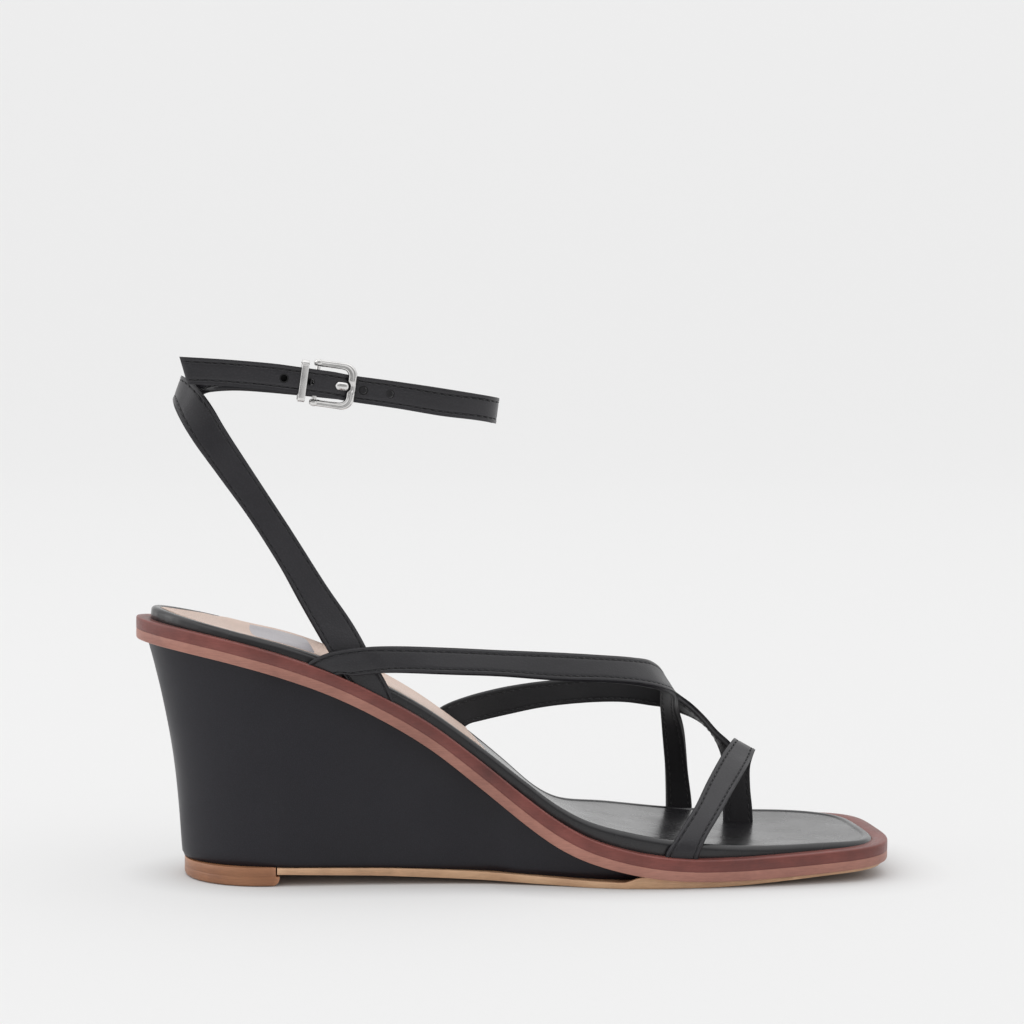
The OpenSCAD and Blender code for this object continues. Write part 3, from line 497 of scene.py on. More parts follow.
# ------------------------------------------------------------------ sole edge
def edge_layer(name, e, top, bot, mat, node, r=0.5, rb=0.5, bulge=0.06, inner=-0.6):
    """A leather layer seen from its trimmed edge, both corners rubbed round."""
    P, t = outline(e)
    rings, us = [], []
    prof = [(inner - e, 0.0, 1), (-1.6, 0.0, 1), (-r * 1.05, 0.0, 1), (-r * 0.35, -r * 0.22, 1), (-r * 0.05, -r * 0.75, 1), (bulge * 0.6, -r * 1.5, 1)]
    prof2 = [(bulge, 0.5, 0), (bulge * 0.6, rb * 1.3, -1), (-rb * 0.05, rb * 0.7, -1), (-rb * 0.35, rb * 0.2, -1), (-rb * 1.05, 0, -1), (-1.6, 0, -1), (inner - e, 0, -1)]
    wob = np.array([noise.noise(Vector((p[0] * 0.07, p[1] * 0.07, 1.7))) for p in P])
    for off, dz, w in prof + prof2:
        Q = inset(P, -off + 0.06 * 0)
        zt, zb = top(Q[:, 0]), bot(Q[:, 0])
        z = zt + dz if w == 1 else zb + dz if w == -1 else (zt + zb) / 2
        Q = Q + 0
        if off > -0.3:
            Q = inset(P, -off - 0.05 * wob)
        rings.append(np.c_[Q, z])
        us.append(np.c_[t * 0.001, z * 0.001])
    R = np.array(rings)
    n, m = R.shape[1], R.shape[0]
    V = R.reshape(-1, 3)
    F = []
    for j in range(m):
        k = (j + 1) % m
        for i in range(n):
            h = (i + 1) % n
            F.append((j * n + i, j * n + h, k * n + h, k * n + i))
    ob = make(name, V, F, mat, uv=np.array(us).reshape(-1, 2))
    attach(ob, "sole")
    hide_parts(node)
    return ob


up = edge_layer("edge_upper_layer", edge_out - 0.2, Z_TOP, lambda x: Z_MID(x) + 0.01, M["edge_dark"], "platform_upper_layer", r=0.42, rb=0.1)
# the lower layer is a whole plate, so its inner edge runs under the footbed and closes there
dn = edge_layer("edge_lower_layer", edge_out - 0.22, lambda x: Z_MID(x) - 0.01, Z_LOW, M["edge_tan"], "platform_lower_layer", r=0.08, rb=0.4, inner=-16.0)


# ------------------------------------------------------------------ footbed
def rim_at(x, y):
    """Rim height: the inner side of the arch and of the heel seat sits a little lower."""
    l, m = LAT(x), MED(x)
    t = smooth01((y - l) / np.maximum(m - l, 1e-6))
    return Z_RIM(x) - (2.2 * np.exp(-((x - 15) / 14) ** 2) + 0.6 * np.exp(-((x + 84) / 10) ** 2)) * t


def edge_dist(Q, P):
    """Distance of each point to the closed outline P."""
    a, b = P, np.roll(P, -1, 0)
    ab = b - a
    L2 = np.maximum((ab ** 2).sum(1), 1e-12)
    out = []
    for q in Q:
        t = np.clip(((q - a) * ab).sum(1) / L2, 0, 1)
        out.append(np.sqrt(((a + ab * t[:, None] - q) ** 2).sum(1).min()))
    return np.array(out)


def dish(x):
    return 0.34 + 0.2 * smooth01((-55 - x) / 40) + 0.06 * smooth01((x - 40) / 25)


OUT0 = outline2(0.0)
POST = np.array([77.8, 15.7])


def seat(Q, d=None):
    """Top surface of the footbed: a raised bead along the rim, then a shallow dish."""
    Q = np.asarray(Q, float)
    d = edge_dist(Q, OUT0) if d is None else d
    x, y = Q[:, 0], Q[:, 1]
    z = rim_at(x, y) - 0.34 * smooth01((d - 2.5) / 0.9) - 0.16 * np.exp(-((d - 3.3) / 0.3) ** 2) - dish(x) * smooth01((d - 2.4) / 16)
    rr = np.hypot((x - POST[0]) / 7.5, (y - POST[1]) / 3.6)
    z = z - 0.12 * np.exp(-rr ** 2 * 1.1)
    w = np.array([noise.noise(Vector((p[0] * 0.03, p[1] * 0.05, 2.1))) + 0.35 * noise.noise(Vector((p[0] * 0.09, p[1] * 0.11, 7.7))) for p in Q])
    return z + 0.1 * w * smooth01((d - 4) / 8)


def footbed():
    P = OUT0
    n = len(P)
    pleat = np.array([noise.noise(Vector((p[0] * 0.45, p[1] * 0.45, 0.3))) for p in P])
    rings = []
    for d, dz in [(14.0, 0.0), (2.0, 0.0), (0.5, 0.0), (0.12, 0.5), (-0.02, 1.2)]:
        Q = inset(P, d)
        rings.append(np.c_[Q, Z_MID(Q[:, 0]) + 0.1 + dz])
    R = 1.8
    for f in (0.35, 0.62, 0.85):
        Q = inset(P, -0.12 * math.sin(f * math.pi))
        z0, z1 = Z_MID(Q[:, 0]) + 1.3, rim_at(Q[:, 0], Q[:, 1]) - R
        rings.append(np.c_[Q, z0 + (z1 - z0) * f])
    for a in np.linspace(0, 90, 9):
        Q = inset(P, R - R * math.cos(math.radians(a)))
        rings.append(np.c_[Q, rim_at(Q[:, 0], Q[:, 1]) - R + R * math.sin(math.radians(a))])
    for d in (2.1, 2.5, 2.75, 3.0, 3.2, 3.4, 3.65, 4.0, 4.6, 5.4, 6.4):
        Q = inset(P, d)
        rings.append(np.c_[Q, seat(Q, np.full(n, d))])
    Q6 = inset(P, 6.4)
    h = n // 2
    part = np.array([i if i == 0 else n - i for i in range(n)])
    cx = np.clip((Q6[:, 0] + Q6[part, 0]) / 2, heel_x + 27, toe_x - 28)
    C = np.c_[cx, (LAT(cx) + MED(cx)) / 2]
    for f in (0.05, 0.11, 0.18, 0.26, 0.35, 0.45, 0.55, 0.65, 0.75, 0.85, 0.93, 1.0):
        Q = Q6 + (C - Q6) * f
        rings.append(np.c_[Q, seat(Q)])
    R_ = np.array(rings)
    # gathered leather where the cover turns under: shallow pleats down the side wall
    for j in range(4, 12):
        k = math.sin(math.pi * (j - 3.5) / 9)
        nrm = inset(P, -1.0) - P
        R_[j][:, :2] += nrm * (0.08 * k * pleat * (1 + 0.8 * (np.abs(P[:, 0]) > 88)))[:, None]
    m = len(R_)
    V = R_.reshape(-1, 3)
    F = []
    for j in range(m - 1):
        for i in range(n):
            k = (i + 1) % n
            F.append((j * n + i, j * n + k, (j + 1) * n + k, (j + 1) * n + i))
    ob = make("footbed_cushion", V, F, M["footbed"])
    bm = bmesh.new()
    bm.from_mesh(ob.data)
    bmesh.ops.remove_doubles(bm, verts=bm.verts, dist=0.00005)
    bmesh.ops.dissolve_degenerate(bm, edges=bm.edges, dist=0.00002)
    # close the underside
    bmesh.ops.holes_fill(bm, edges=[e for e in bm.edges if len(e.link_faces) == 1])
    bmesh.ops.recalc_face_normals(bm, faces=bm.faces)
    for f in bm.faces:
        f.smooth = True
    bm.to_mesh(ob.data)
    bm.free()
    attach(ob, "sole")
    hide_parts("footbed_cover")


footbed()


# ------------------------------------------------------------------ pale sock lining over the heel seat, with a plain blank label sheet whose light grey colour is a painted highlight
def sheet(name, x0, x1, ka, kb, up_, th, mat, heel_r, toe_r, nx=72):
    """A thin sheet lying on the footbed, inset ka on the lateral and kb on the medial side."""
    tt = np.linspace(5, 175, nx)
    xs = x0 + (x1 - x0) * (1 - np.cos(np.radians(tt))) / 2
    rings = []
    for x in xs:
        a, b_ = lat(x, -ka), med(x, -kb)
        c0 = (a + b_) / 2
        q = round_end(x1 - x, toe_r, 2.4) * round_end(x - x0, heel_r, 2.2)
        a, b_ = c0 + (a - c0) * q, c0 + (b_ - c0) * q
        e = min(0.25, (b_ - a) / 8)
        ys = np.r_[a, a + e * 0.4, np.linspace(a + e, b_ - e, 33), b_ - e * 0.4, b_]
        z = seat(np.c_[np.full(len(ys), x), ys])
        ed = np.minimum(np.arange(len(ys)), len(ys) - 1 - np.arange(len(ys)))
        top = z + up_ - th * np.where(ed == 0, 0.75, np.where(ed == 1, 0.2, 0.0))
        bot = z + up_ - th
        rings.append(np.vstack([np.c_[np.full(len(ys), x), ys, top], np.c_[np.full(len(ys), x), ys, bot][::-1]]))
    V, F, tag = loft(rings)
    ob = make(name, V, F, mat)
    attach(ob, "sole")
    return ob


sk = sheet("heel_sock_lining", heel_x + 3.0, -11.0, 2.7, 1.9, 0.34, 0.42, M["sock"], 30, 3)
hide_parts("sock_lining")
# a thin label sheet whose light grey colour is a painted highlight
sheet("heel_sock_painted_highlight_sheet", -84.5, -65.0, 5.0, 4.2, 0.42, 0.1, M["painted_highlight_sheet"], 1.2, 1.2, nx=24)


# ------------------------------------------------------------------ wedge
def wedge():
    vs = np.r_[0, 0.006, 0.02, 0.05, np.linspace(0.1, 0.94, 26), 0.97, 0.99, 1.0]
    cols = []
    A = np.linspace(-90, 90, 241)
    for a in A:
        sd = -1 if a < 0 else 1
        s = 1 - math.cos(math.radians(a))
        s = min(s, 0.9999)
        col = []
        for v in vs:
            x, y = wx(s, v), wy(sd, s, v)
            if abs(a) < 1e-6:
                y = mid_y
            z = wz(x, v)
            h = max(0.0, (wz(x, 1) - wz(x, 0)))
            tuck = 0.55 * math.exp(-((v * h) / 0.9) ** 2)
            col.append([x + tuck * max(0, 1 - s / 0.1), y - sd * tuck * (abs(a) > 1e-6), z])
        cols.append(col)
    O = np.array(cols)
    # slight unevenness of leather pulled over a block
    for i in range(O.shape[0]):
        for j in range(O.shape[1]):
            p = O[i, j]
            w = noise.noise(Vector((p[0] * 0.02, p[1] * 0.04, p[2] * 0.03))) * 0.16 + noise.noise(Vector((p[0] * 0.11, p[1] * 0.09, p[2] * 0.05 + 4))) * 0.05
            sd = -1 if A[i] < 0 else 1
            k = min(1, abs(A[i]) / 12)
            O[i, j, 1] += sd * w * k
            O[i, j, 0] -= w * (1 - k)
    I = O.copy()
    c = np.array([0, mid_y])
    for i in range(I.shape[0]):
        sd = -1 if A[i] < 0 else 1
        s = 1 - math.cos(math.radians(A[i]))
        I[i, :, 0] += wrap_t * max(0, 1 - s / 0.2)
        I[i, :, 1] = mid_y + sd * np.maximum(0.15 if abs(A[i]) > 1e-6 else 0, sd * (O[i, :, 1] - mid_y) - wrap_t * (1 if abs(A[i]) > 8 else abs(A[i]) / 8))
    rings = [np.vstack([O[i], I[i][::-1]]) for i in range(O.shape[0])]
    V, F, tag = loft(rings)
    ob = make("wedge_leather_wrap", V, F, M["wrap"], sharp=60)
    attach(ob, "sole")
    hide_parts("wedge_wrap")


wedge()


# ------------------------------------------------------------------ outsole and heel lift
def outsole():
    xs = np.r_[np.linspace(-77, 41.2, 66), 42.4 + (toe_x + 2.74 - 42.4) * (1 - np.cos(np.linspace(0.0, math.pi, 90))) / 2]
    rings, uv = [], []
    for x in xs:
        k = z_base(x) - 0.1 if x < 41.5 else z_low(x) - 0.1
        w = edge_out - 2 if x > 30 else -1.2 + 4 * max(0, x + 10) / 40
        w = min(w, edge_out - 2)
        l, m_ = lat(x, w), med(x, w)
        g = z_ground(x)
        t = max(k, g + 0.8)
        r = min(0.6, (m_ - l) / 4)
        # the outer lip closes up against the lower layer where the wedge runs out
        t2 = t + max(z_low(x) - 0.12 - t, 0.0) * float(smooth01((x - 29.5) / 8.0)) if x < 41.5 else t
        e1 = min(1.6, (m_ - l) / 6)
        h = t2 - g
        ring = [(x, l + e1, t), (x, l + e1 * 0.85, t2), (x, l + 0.1, t2), (x, l, t2 - 0.15 * h), (x, l, g + 0.45 * h), (x, l + 0.18 * r, g + 0.2 * h), (x, l + 0.5 * r, g + 0.05 * h), (x, l + r, g)]
        ring += [(x, l + r + (m_ - l - 2 * r) * f, g) for f in (0.25, 0.5, 0.75)]
        ring += [(x, 2 * ((l + m_) / 2) - p[1], p[2]) for p in ring[7::-1]]
        ring += [(x, m_ - r - (m_ - l - 2 * r) * f, t) for f in (0.25, 0.5, 0.75)]
        rings.append(ring)
        uv.append([(x * 0.001 + p[1] * 0.0004, p[2] * 0.001) for p in ring])
    V, F, tag = loft(rings)
    U = [q for r in uv for q in r] + [(0, 0), (0.1, 0)]
    ob = make("outsole_leather", V, F, M["outsole"], uv=U, sharp=50)
    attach(ob, "sole")
    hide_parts("outsole")


outsole()


def lift():
    # D shaped plan, breast edge straight; the walking layer reaches a little under the outsole
    def plan(e, xb, n=110):
        c = np.array([-80, mid_y])
        r = 25 + e
        a0 = math.acos(max(-1, min(1, (xb - c[0]) / r)))
        A = np.linspace(a0, 2 * math.pi - a0, n)
        pts = [(c[0] + r * math.cos(a), c[1] + r * math.sin(a)) for a in A]
        y0, y1 = pts[-1][1], pts[0][1]
        pts += [(xb, y0 + (y1 - y0) * f) for f in np.linspace(0, 1, 22)[1:-1]]
        return np.array(pts)
    levels = [(0.0, -1.3, -78.6), (0.12, -0.75, -78.0), (0.4, -0.32, -77.5), (0.9, -0.06, -77.0), (1.5, 0, -76.5), (2.7, 0, -76.2), (3.05, -0.06, -76.3), (3.12, -0.1, -77.4), (3.3, -0.02, -77.45),
              (4.4, 0, -77.45), (5.6, 0, -77.45), (5.9, -0.12, -77.5)]
    rings, uv = [], []
    for z, e, xb in levels:
        p = plan(e, xb)
        rings.append(np.c_[p, np.full(len(p), z)])
        d = np.r_[0, np.cumsum(np.hypot(*np.diff(p, axis=0).T))]
        uv.append(np.c_[d * 0.001, np.full(len(p), z * 0.001)])
    V, F, tag = loft(rings)
    U = np.vstack(uv + [np.zeros((2, 2))])
    ob = make("heel_lift_block", V, F, M["lift"], uv=U, sharp=55)
    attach(ob, "sole")
    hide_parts("heel_lift")


lift()


# ------------------------------------------------------------------ straps
def cr(P, s):
    n = len(P) - 1
    i = min(int(s), n - 1)
    u = s - i
    p1, p2 = P[i], P[i + 1]
    p0 = 2 * P[0] - P[1] if i == 0 else P[i - 1]
    p3 = 2 * P[n] - P[n - 1] if i + 2 > n else P[i + 2]
    return 0.5 * (2 * p1 + (p2 - p0) * u + (2 * p0 - 5 * p1 + 4 * p2 - p3) * u * u + (3 * p1 - p0 - 3 * p2 + p3) * u**3)


def unit(v):
    return v / np.linalg.norm(v)


class Strap:
    """A ribbon between two rails, sampled evenly along its length."""

    def __init__(self, A, B, step=0.9, s0=0.0, s1=None, t_out=1.05, t_in=1.0, smooth=2):
        self.A, self.B = np.array(A, float), np.array(B, float)
        s1 = len(A) - 1 if s1 is None else s1
        S = np.linspace(s0, s1, 900)
        a = np.array([cr(self.A, s) for s in S])
        b = np.array([cr(self.B, s) for s in S])
        c = (a + b) / 2
        L = np.r_[0, np.cumsum(np.linalg.norm(np.diff(c, axis=0), axis=1))]
        self.length = L[-1]
        n = max(6, int(round(self.length / step)))
        self.l = np.linspace(0, self.length, n + 1)
        g = lambda X: np.c_[[np.interp(self.l, L, X[:, i]) for i in range(3)]].T
        self.a, self.b = g(a), g(b)
        for _ in range(smooth):
            for X in (self.a, self.b):
                X[1:-1] = 0.5 * X[1:-1] + 0.25 * (X[:-2] + X[2:])
        c = (self.a + self.b) / 2
        t = np.gradient(c, axis=0)
        self.t = t / np.linalg.norm(t, axis=1)[:, None]
        w = self.b - self.a
        self.W = np.linalg.norm(w, axis=1)
        self.w = w / self.W[:, None]
        k = np.cross(self.t, self.w)
        self.k = k / np.linalg.norm(k, axis=1)[:, None]
        self.t_out, self.t_in = t_out, t_in

    def at(self, l):
        f = lambda X: np.array([np.interp(l, self.l, X[:, i]) for i in range(X.shape[1])])
        return f(self.a), f(self.b), unit(f(self.t)), unit(f(self.w)), unit(f(self.k)), float(np.interp(l, self.l, self.W))


US = 1.42  # stitch line from the edge


def profile(W, to, ti, u_st=US):
    """Cross-section of a folded-edge strap: (u, h, part); part 0 face, 1 lining."""
    pts = []
    def half(sgn):
        q = []
        for a in np.linspace(0, 90, 6):
            u = 0.62 * (1 - math.sin(math.radians(a)))
            h = -0.12 + (to + 0.12) * math.cos(math.radians(90 - a)) ** 0.75
            q.append((u, h))
        for u in (0.85, 1.08, 1.2, 1.32, 1.42, 1.52, 1.64, 1.8, 2.1, 2.6):
            q.append((u, to + 0.1 * math.exp(-((u - 0.8) / 0.3) ** 2) - 0.28 * math.exp(-((u - u_st) / 0.2) ** 2) - 0.07 * math.exp(-((u - u_st) / 0.6) ** 2)))
        return q
    q = half(1)
    left = [(u, h, 0) for u, h in q]
    mid = [(W * 0.4, to - 0.01, 0), (W * 0.5, to, 0), (W * 0.6, to - 0.01, 0)]
    right = [(W - u, h, 0) for u, h in q[::-1]]
    low_r = [(W - 0.03, -0.3, 0), (W - 0.14, -0.42, 1), (W - 0.1, -0.58, 1), (W - 0.22, -ti * 0.86, 1), (W - 0.5, -ti, 1)]
    low = [(W - u, -ti + 0.14 * math.exp(-((u - u_st) / 0.2) ** 2), 1) for u in (1.2, 1.42, 1.64, 2.2)]
    low_m = [(W * 0.62, -ti, 1), (W * 0.38, -ti, 1)]
    low_l = [(W - u, h, p) for u, h, p in (low_r + low)[::-1]]
    low_l = [(u, h, p) for u, h, p in low_l]
    return left + mid + right + low_r + low + low_m + low_l


def strap_mesh(name, S, taper=None, seed=1.0, crown=0.0, hem0=False, hem1=False, wr=0.05):
    rings, parts = [], None
    n = len(S.l)
    for j in range(n):
        a, w, k, t, W = S.a[j], S.w[j], S.k[j], S.t[j], S.W[j]
        P = profile(W, S.t_out, S.t_in)
        parts = [p[2] for p in P]
        ring = []
        ends = min(S.l[j] if hem0 else 99, (S.length - S.l[j]) if hem1 else 99)
        thin = 1.0 if ends > 0.9 else math.sqrt(max(0.06, 1 - (1 - ends / 0.9) ** 2))
        for u, h, p in P:
            q = noise.noise(Vector((S.l[j] * 0.13, u * 0.4, seed))) * wr + noise.noise(Vector((S.l[j] * 0.5, u * 0.25, seed + 9))) * wr * 0.35
            h2 = (h + q * (1 if p == 0 else 0.6)) * thin
            ring.append(a + w * u + k * h2)
        rings.append(ring)
    V, F, tag = loft(rings)
    nr = len(rings[0])
    fm = [parts[i] if parts[i] == parts[(i + 1) % nr] else 1 for i in tag]
    return V, F, fm


def capsule_stitches(S, pitch=2.55, length=1.95, r=0.2, faces=("out", "in"), l0=1.0, l1=None, skip=None, us=US):
    """Every stitch is its own little thread, pulled down into its two holes."""
    V, F = [], []
    l1 = S.length - 1.0 if l1 is None else l1
    cnt = int((l1 - l0) / pitch)
    prof = [(-1.0, 0.25, -0.32), (-0.86, 0.8, -0.16), (-0.45, 1.0, 0.0), (0.0, 1.02, 0.03), (0.45, 1.0, 0.0), (0.86, 0.8, -0.16), (1.0, 0.25, -0.32)]
    for face in faces:
        for edge in (0, 1):
            for i in range(cnt):
                l = l0 + (i + 0.5) * (l1 - l0) / cnt
                if skip and skip(l):
                    continue
                a, b, t, w, k, W = S.at(l)
                sg = 1 if face == "out" else -1
                base = (a + w * us) if edge == 0 else (b - w * us)
                hh = S.t_out - 0.17 if face == "out" else S.t_in - 0.06
                o = base + k * sg * hh
                tt = unit(t + w * 0.07 * (1 if edge else -1))
                ww = np.cross(k, tt)
                v0 = len(V)
                L = length / 2 * (0.94 + 0.1 * rng.random())
                for x, rr, dz in prof:
                    c = o + tt * x * L + k * sg * dz * 0.9
                    for q in range(6):
                        an = q * math.pi / 3 + 0.2
                        V.append(c + ww * math.cos(an) * r * rr + k * math.sin(an) * r * rr)
                for j in range(len(prof) - 1):
                    for q in range(6):
                        h = (q + 1) % 6
                        F.append((v0 + j * 6 + q, v0 + j * 6 + h, v0 + (j + 1) * 6 + h, v0 + (j + 1) * 6 + q))
                F.append(tuple(v0 + q for q in range(6)))
                F.append(tuple(v0 + (len(prof) - 1) * 6 + q for q in range(6)))
    return V, F


def strap(name, S, body, nodes, seed, stitch=None, blend=None, wr=0.05, slot_="strap_leather", **kw):
    V, F, fm = strap_mesh(name, S, seed=seed, wr=wr, **kw)
    ob = make(name, V, F, [M["strap"], M["lining"]], fmat=fm)
    sv, sf = capsule_stitches(S, **(stitch or {}))
    st = make(name + "_stitching", sv, sf, M["thread"])
    for o in (ob, st):
        if blend:
            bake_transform(o)
        else:
            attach(o, body)
    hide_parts(*nodes)
    return ob, st


strap("instep_strap_leather", Strap(instep_A, instep_B), "sole", ["instep_strap", "instep_strap_lining"], 1.1)
strap("arch_strap_leather", Strap(arch_A, arch_B), "sole", ["arch_strap", "arch_strap_lining"], 2.3)
strap("toe_strap_leather", Strap(toe_A, toe_B, t_in=0.9), "sole", ["toe_strap", "toe_strap_lining"], 3.7)

sl_A = root_low + sling_low
sl_B = root_back + sling_back
m_root = lambda P: [[p[0], side(p[1], 70), p[2]] for p in P[::-1]]
full_A = sl_A + mirrored(sling_low) + m_root(root_low)
full_B = sl_B + mirrored(sling_back) + m_root(root_back)
strap("sling_strap_leather", Strap(full_A, full_B, smooth=4), None, ["sling_strap", "sling_strap_lining", "sling_root_lateral", "sling_root_medial"], 4.9,
      blend=("sole", "sling", (-0.0515, 0, 0.0625), (-0.0575, 0, 0.0785)))


# ------------------------------------------------------------------ ankle strap with its punched holes
def ankle():
    N = len(ankle_M)
    A = [np.array(p) + wv * ankle_w / 2 + (np.array([-2.2, 0, 0.22]) if i == N - 1 else 0) for i, p in enumerate(ankle_M)]
    B = [np.array(p) - wv * ankle_w / 2 + (np.array([1.4, 0, -0.14]) if i == N - 1 else 0) for i, p in enumerate(ankle_M)]
    S = Strap(A, B, step=0.8, t_out=0.92, t_in=0.92, smooth=2)
    hid = lambda l: False
    V, F, fm = strap_mesh("ankle_strap_leather", S, seed=6.2, hem1=True, wr=0.04)
    ob = make("ankle_strap_leather", V, F, [M["strap"], M["lining"], M["hole"]], fmat=fm)
    # punched holes: cut through both layers
    hx = [-75.2, -66.9, -50.4, -42.1]
    hy = [-18, -18, -16.35, -16.25]
    cut = bmesh.new()
    for x, y in zip(hx, hy):
        mt = Matrix.Translation(Vector((x, y, on_line(x) - (0.35 if x > -60 else 0))) * 0.001) @ Matrix.Rotation(math.radians(90), 4, "X")
        bmesh.ops.create_cone(cut, cap_ends=True, segments=40, radius1=0.00105, radius2=0.00105, depth=0.0042, matrix=mt)
    mb = Matrix.Translation(buckle * 0.001) @ Matrix.Rotation(slope, 4, "Y")
    # the hole in use is drawn out where the prong passes
    bmesh.ops.create_cube(cut, size=1.0, matrix=mb @ Matrix.Translation(Vector((6.9, -2.7, 0)) * 0.001) @ Matrix.Diagonal((0.0017, 0.0044, 0.0016, 1)))
    cm = bpy.data.meshes.new("hole_cutter")
    cut.to_mesh(cm)
    cut.free()
    cm.materials.append(M["hole"])
    co = bpy.data.objects.new("hole_cutter", cm)
    bpy.context.scene.collection.objects.link(co)
    md = ob.modifiers.new("holes", "BOOLEAN")
    md.object, md.operation, md.solver = co, "DIFFERENCE", "EXACT"
    md.material_mode = "TRANSFER"
    dg = bpy.context.evaluated_depsgraph_get()
    me = bpy.data.meshes.new_from_object(ob.evaluated_get(dg))
    ob.modifiers.clear()
    ob.data = me
    bpy.data.objects.remove(co)
    me.set_sharp_from_angle(angle=math.radians(50))
    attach(ob, "ankle")
    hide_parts("ankle_strap", "ankle_strap_lining")
    sv, sf = capsule_stitches(S, l0=3.0, l1=S.length - 1.6)
    # the strap's frame near the slanted cut end
    a, b, t, w, k, W = S.at(S.length - 1.9)
    st = make("ankle_strap_stitching", sv, sf, M["thread"])
    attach(st, "ankle")
    # raised burnished rings round the holes
    RV, RF = [], []
    for x, y in zip(hx, hy):
        c = np.array([x, y - 0.9, on_line(x) - (0.35 if x > -60 else 0)])
        ex, ez = np.array([math.cos(slope), 0, -math.sin(slope)]), np.array([math.sin(slope), 0, math.cos(slope)])
        v0 = len(RV)
        nu, nv = 36, 8
        for i in range(nu):
            an = 2 * math.pi * i / nu
            d = ex * math.cos(an) + ez * math.sin(an)
            for j in range(nv):
                b_ = 2 * math.pi * j / nv
                RV.append(c + d * (1.27 + 0.2 * math.cos(b_)) + np.array([0, -1, 0]) * 0.13 * math.sin(b_))
        for i in range(nu):
            for j in range(nv):
                i2, j2 = (i + 1) % nu, (j + 1) % nv
                RF.append((v0 + i * nv + j, v0 + i2 * nv + j, v0 + i2 * nv + j2, v0 + i * nv + j2))
    ro = make("ankle_strap_hole_rings", RV, RF, M["hole"])
    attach(ro, "ankle")
    return S


S_ankle = ankle()


# ------------------------------------------------------------------ buckle
BK = np.array(Matrix.Translation(buckle) @ Matrix.Rotation(slope, 4, "Y"))
tilt = math.radians(-13.7)
FR = BK @ np.array(Matrix.Rotation(tilt, 4, "Z"))


def tf(Mx, P):
    P = np.asarray(P, float)
    return P @ Mx[:3, :3].T + Mx[:3, 3]


def sweep(path, sect, up, closed=False, scale=None):
    """Sweeps a closed section (x across, y along up) along a path."""
    path = np.asarray(path, float)
    n = len(path)
    rings = []
    for i in range(n):
        t = path[min(i + 1, n - 1)] - path[max(i - 1, 0)]
        t = t / np.linalg.norm(t)
        x = np.cross(t, up)
        x /= np.linalg.norm(x)
        y = np.cross(x, t)
        sc = scale(i, n) if scale else (1, 1)
        rings.append([path[i] + x * p[0] * sc[0] + y * p[1] * sc[1] for p in sect])
    return rings


def rounded(w, h, r, n=6):
    pts = []
    for cx, cy, a0 in ((w - r, h - r, 0), (-w + r, h - r, 90), (-w + r, -h + r, 180), (w - r, -h + r, 270)):
        for a in np.linspace(a0, a0 + 90, n):
            pts.append((cx + r * math.cos(math.radians(a)), cy + r * math.sin(math.radians(a))))
    return pts


def frame_piece():
    fh, fl, r = 6.2, 11.2, 3.0
    path = [(x, 0, fh) for x in np.linspace(-1.5, fl - r, 22)]
    path += [(fl - r + r * math.sin(a), 0, fh - r + r * math.cos(a)) for a in np.linspace(0, math.pi / 2, 16)[1:]]
    path += [(fl, 0, z) for z in np.linspace(fh - r, -fh + r, 33)[1:]]
    path += [(fl - r + r * math.cos(a), 0, -fh + r - r * math.sin(a)) for a in np.linspace(0, math.pi / 2, 16)[1:]]
    path += [(x, 0, -fh) for x in np.linspace(fl - r, -1.5, 22)[1:]]
    path = np.array(path)
    n = len(path)
    # a flat strip with two soft ridges and a shallow hollow between them
    sect = [(1.0, -0.55), (1.0, 0.1), (0.93, 0.5), (0.74, 0.76), (0.5, 0.84), (0.25, 0.76), (0.0, 0.7), (-0.25, 0.76), (-0.5, 0.84), (-0.74, 0.76), (-0.93, 0.5), (-1.0, 0.1), (-1.0, -0.55), (-0.85, -0.8), (0.85, -0.8)]
    d0 = np.r_[0, np.cumsum(np.linalg.norm(np.diff(path, axis=0), axis=1))]
    def sc(i, n_):
        e = min(d0[i], d0[-1] - d0[i])
        q = math.sqrt(max(0.02, 1 - (1 - e / 0.8) ** 2)) if e < 0.8 else 1.0
        notch = math.exp(-(path[i][2] / 1.3) ** 4) if path[i][0] > fl - 0.5 else 0
        wide = 1.06 + 0.26 * smooth01((path[i][0] - fl + 4) / 4)
        return (q * wide * (1 - 0.3 * notch), q * (1 - 0.2 * notch))
    rings = sweep(path, sect, np.array([0, -1.0, 0]), scale=sc)
    R = np.array(rings)
    # the prong's seat presses the bar from the inside and the front
    for i in range(n):
        if path[i][0] > fl - 0.5:
            k = math.exp(-(path[i][2] / 1.25) ** 4)
            R[i][:, 0] += 0.42 * k
            R[i][:, 1] += 0.1 * k
    V, F, _ = loft(R)
    V = tf(FR, V)
    ob = make("buckle_frame_wire", V, F, M["metal"])
    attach(ob, "buckle_frame")
    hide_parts("buckle_frame")
    # eyes at the arm ends, turned round the bar
    EV, EF = [], []
    for k in (-1, 1):
        prof = [(0.78, -0.86), (1.1, -0.92), (1.3, -0.78), (1.4, -0.45), (1.42, 0), (1.4, 0.45), (1.3, 0.78), (1.1, 0.92), (0.78, 0.86)]
        ring = [[(p[0] * math.cos(a), p[0] * math.sin(a), k * fh + p[1]) for p in prof] for a in np.linspace(0, 2 * math.pi, 33)[:-1]]
        v0 = len(EV)
        nn = len(prof)
        for rr_ in ring:
            EV += rr_
        for i in range(32):
            i2 = (i + 1) % 32
            for j in range(nn):
                j2 = (j + 1) % nn
                EF.append((v0 + i * nn + j, v0 + i2 * nn + j, v0 + i2 * nn + j2, v0 + i * nn + j2))
    ey = make("buckle_frame_eyes", tf(FR, EV), EF, M["metal"])
    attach(ey, "buckle_frame")


frame_piece()


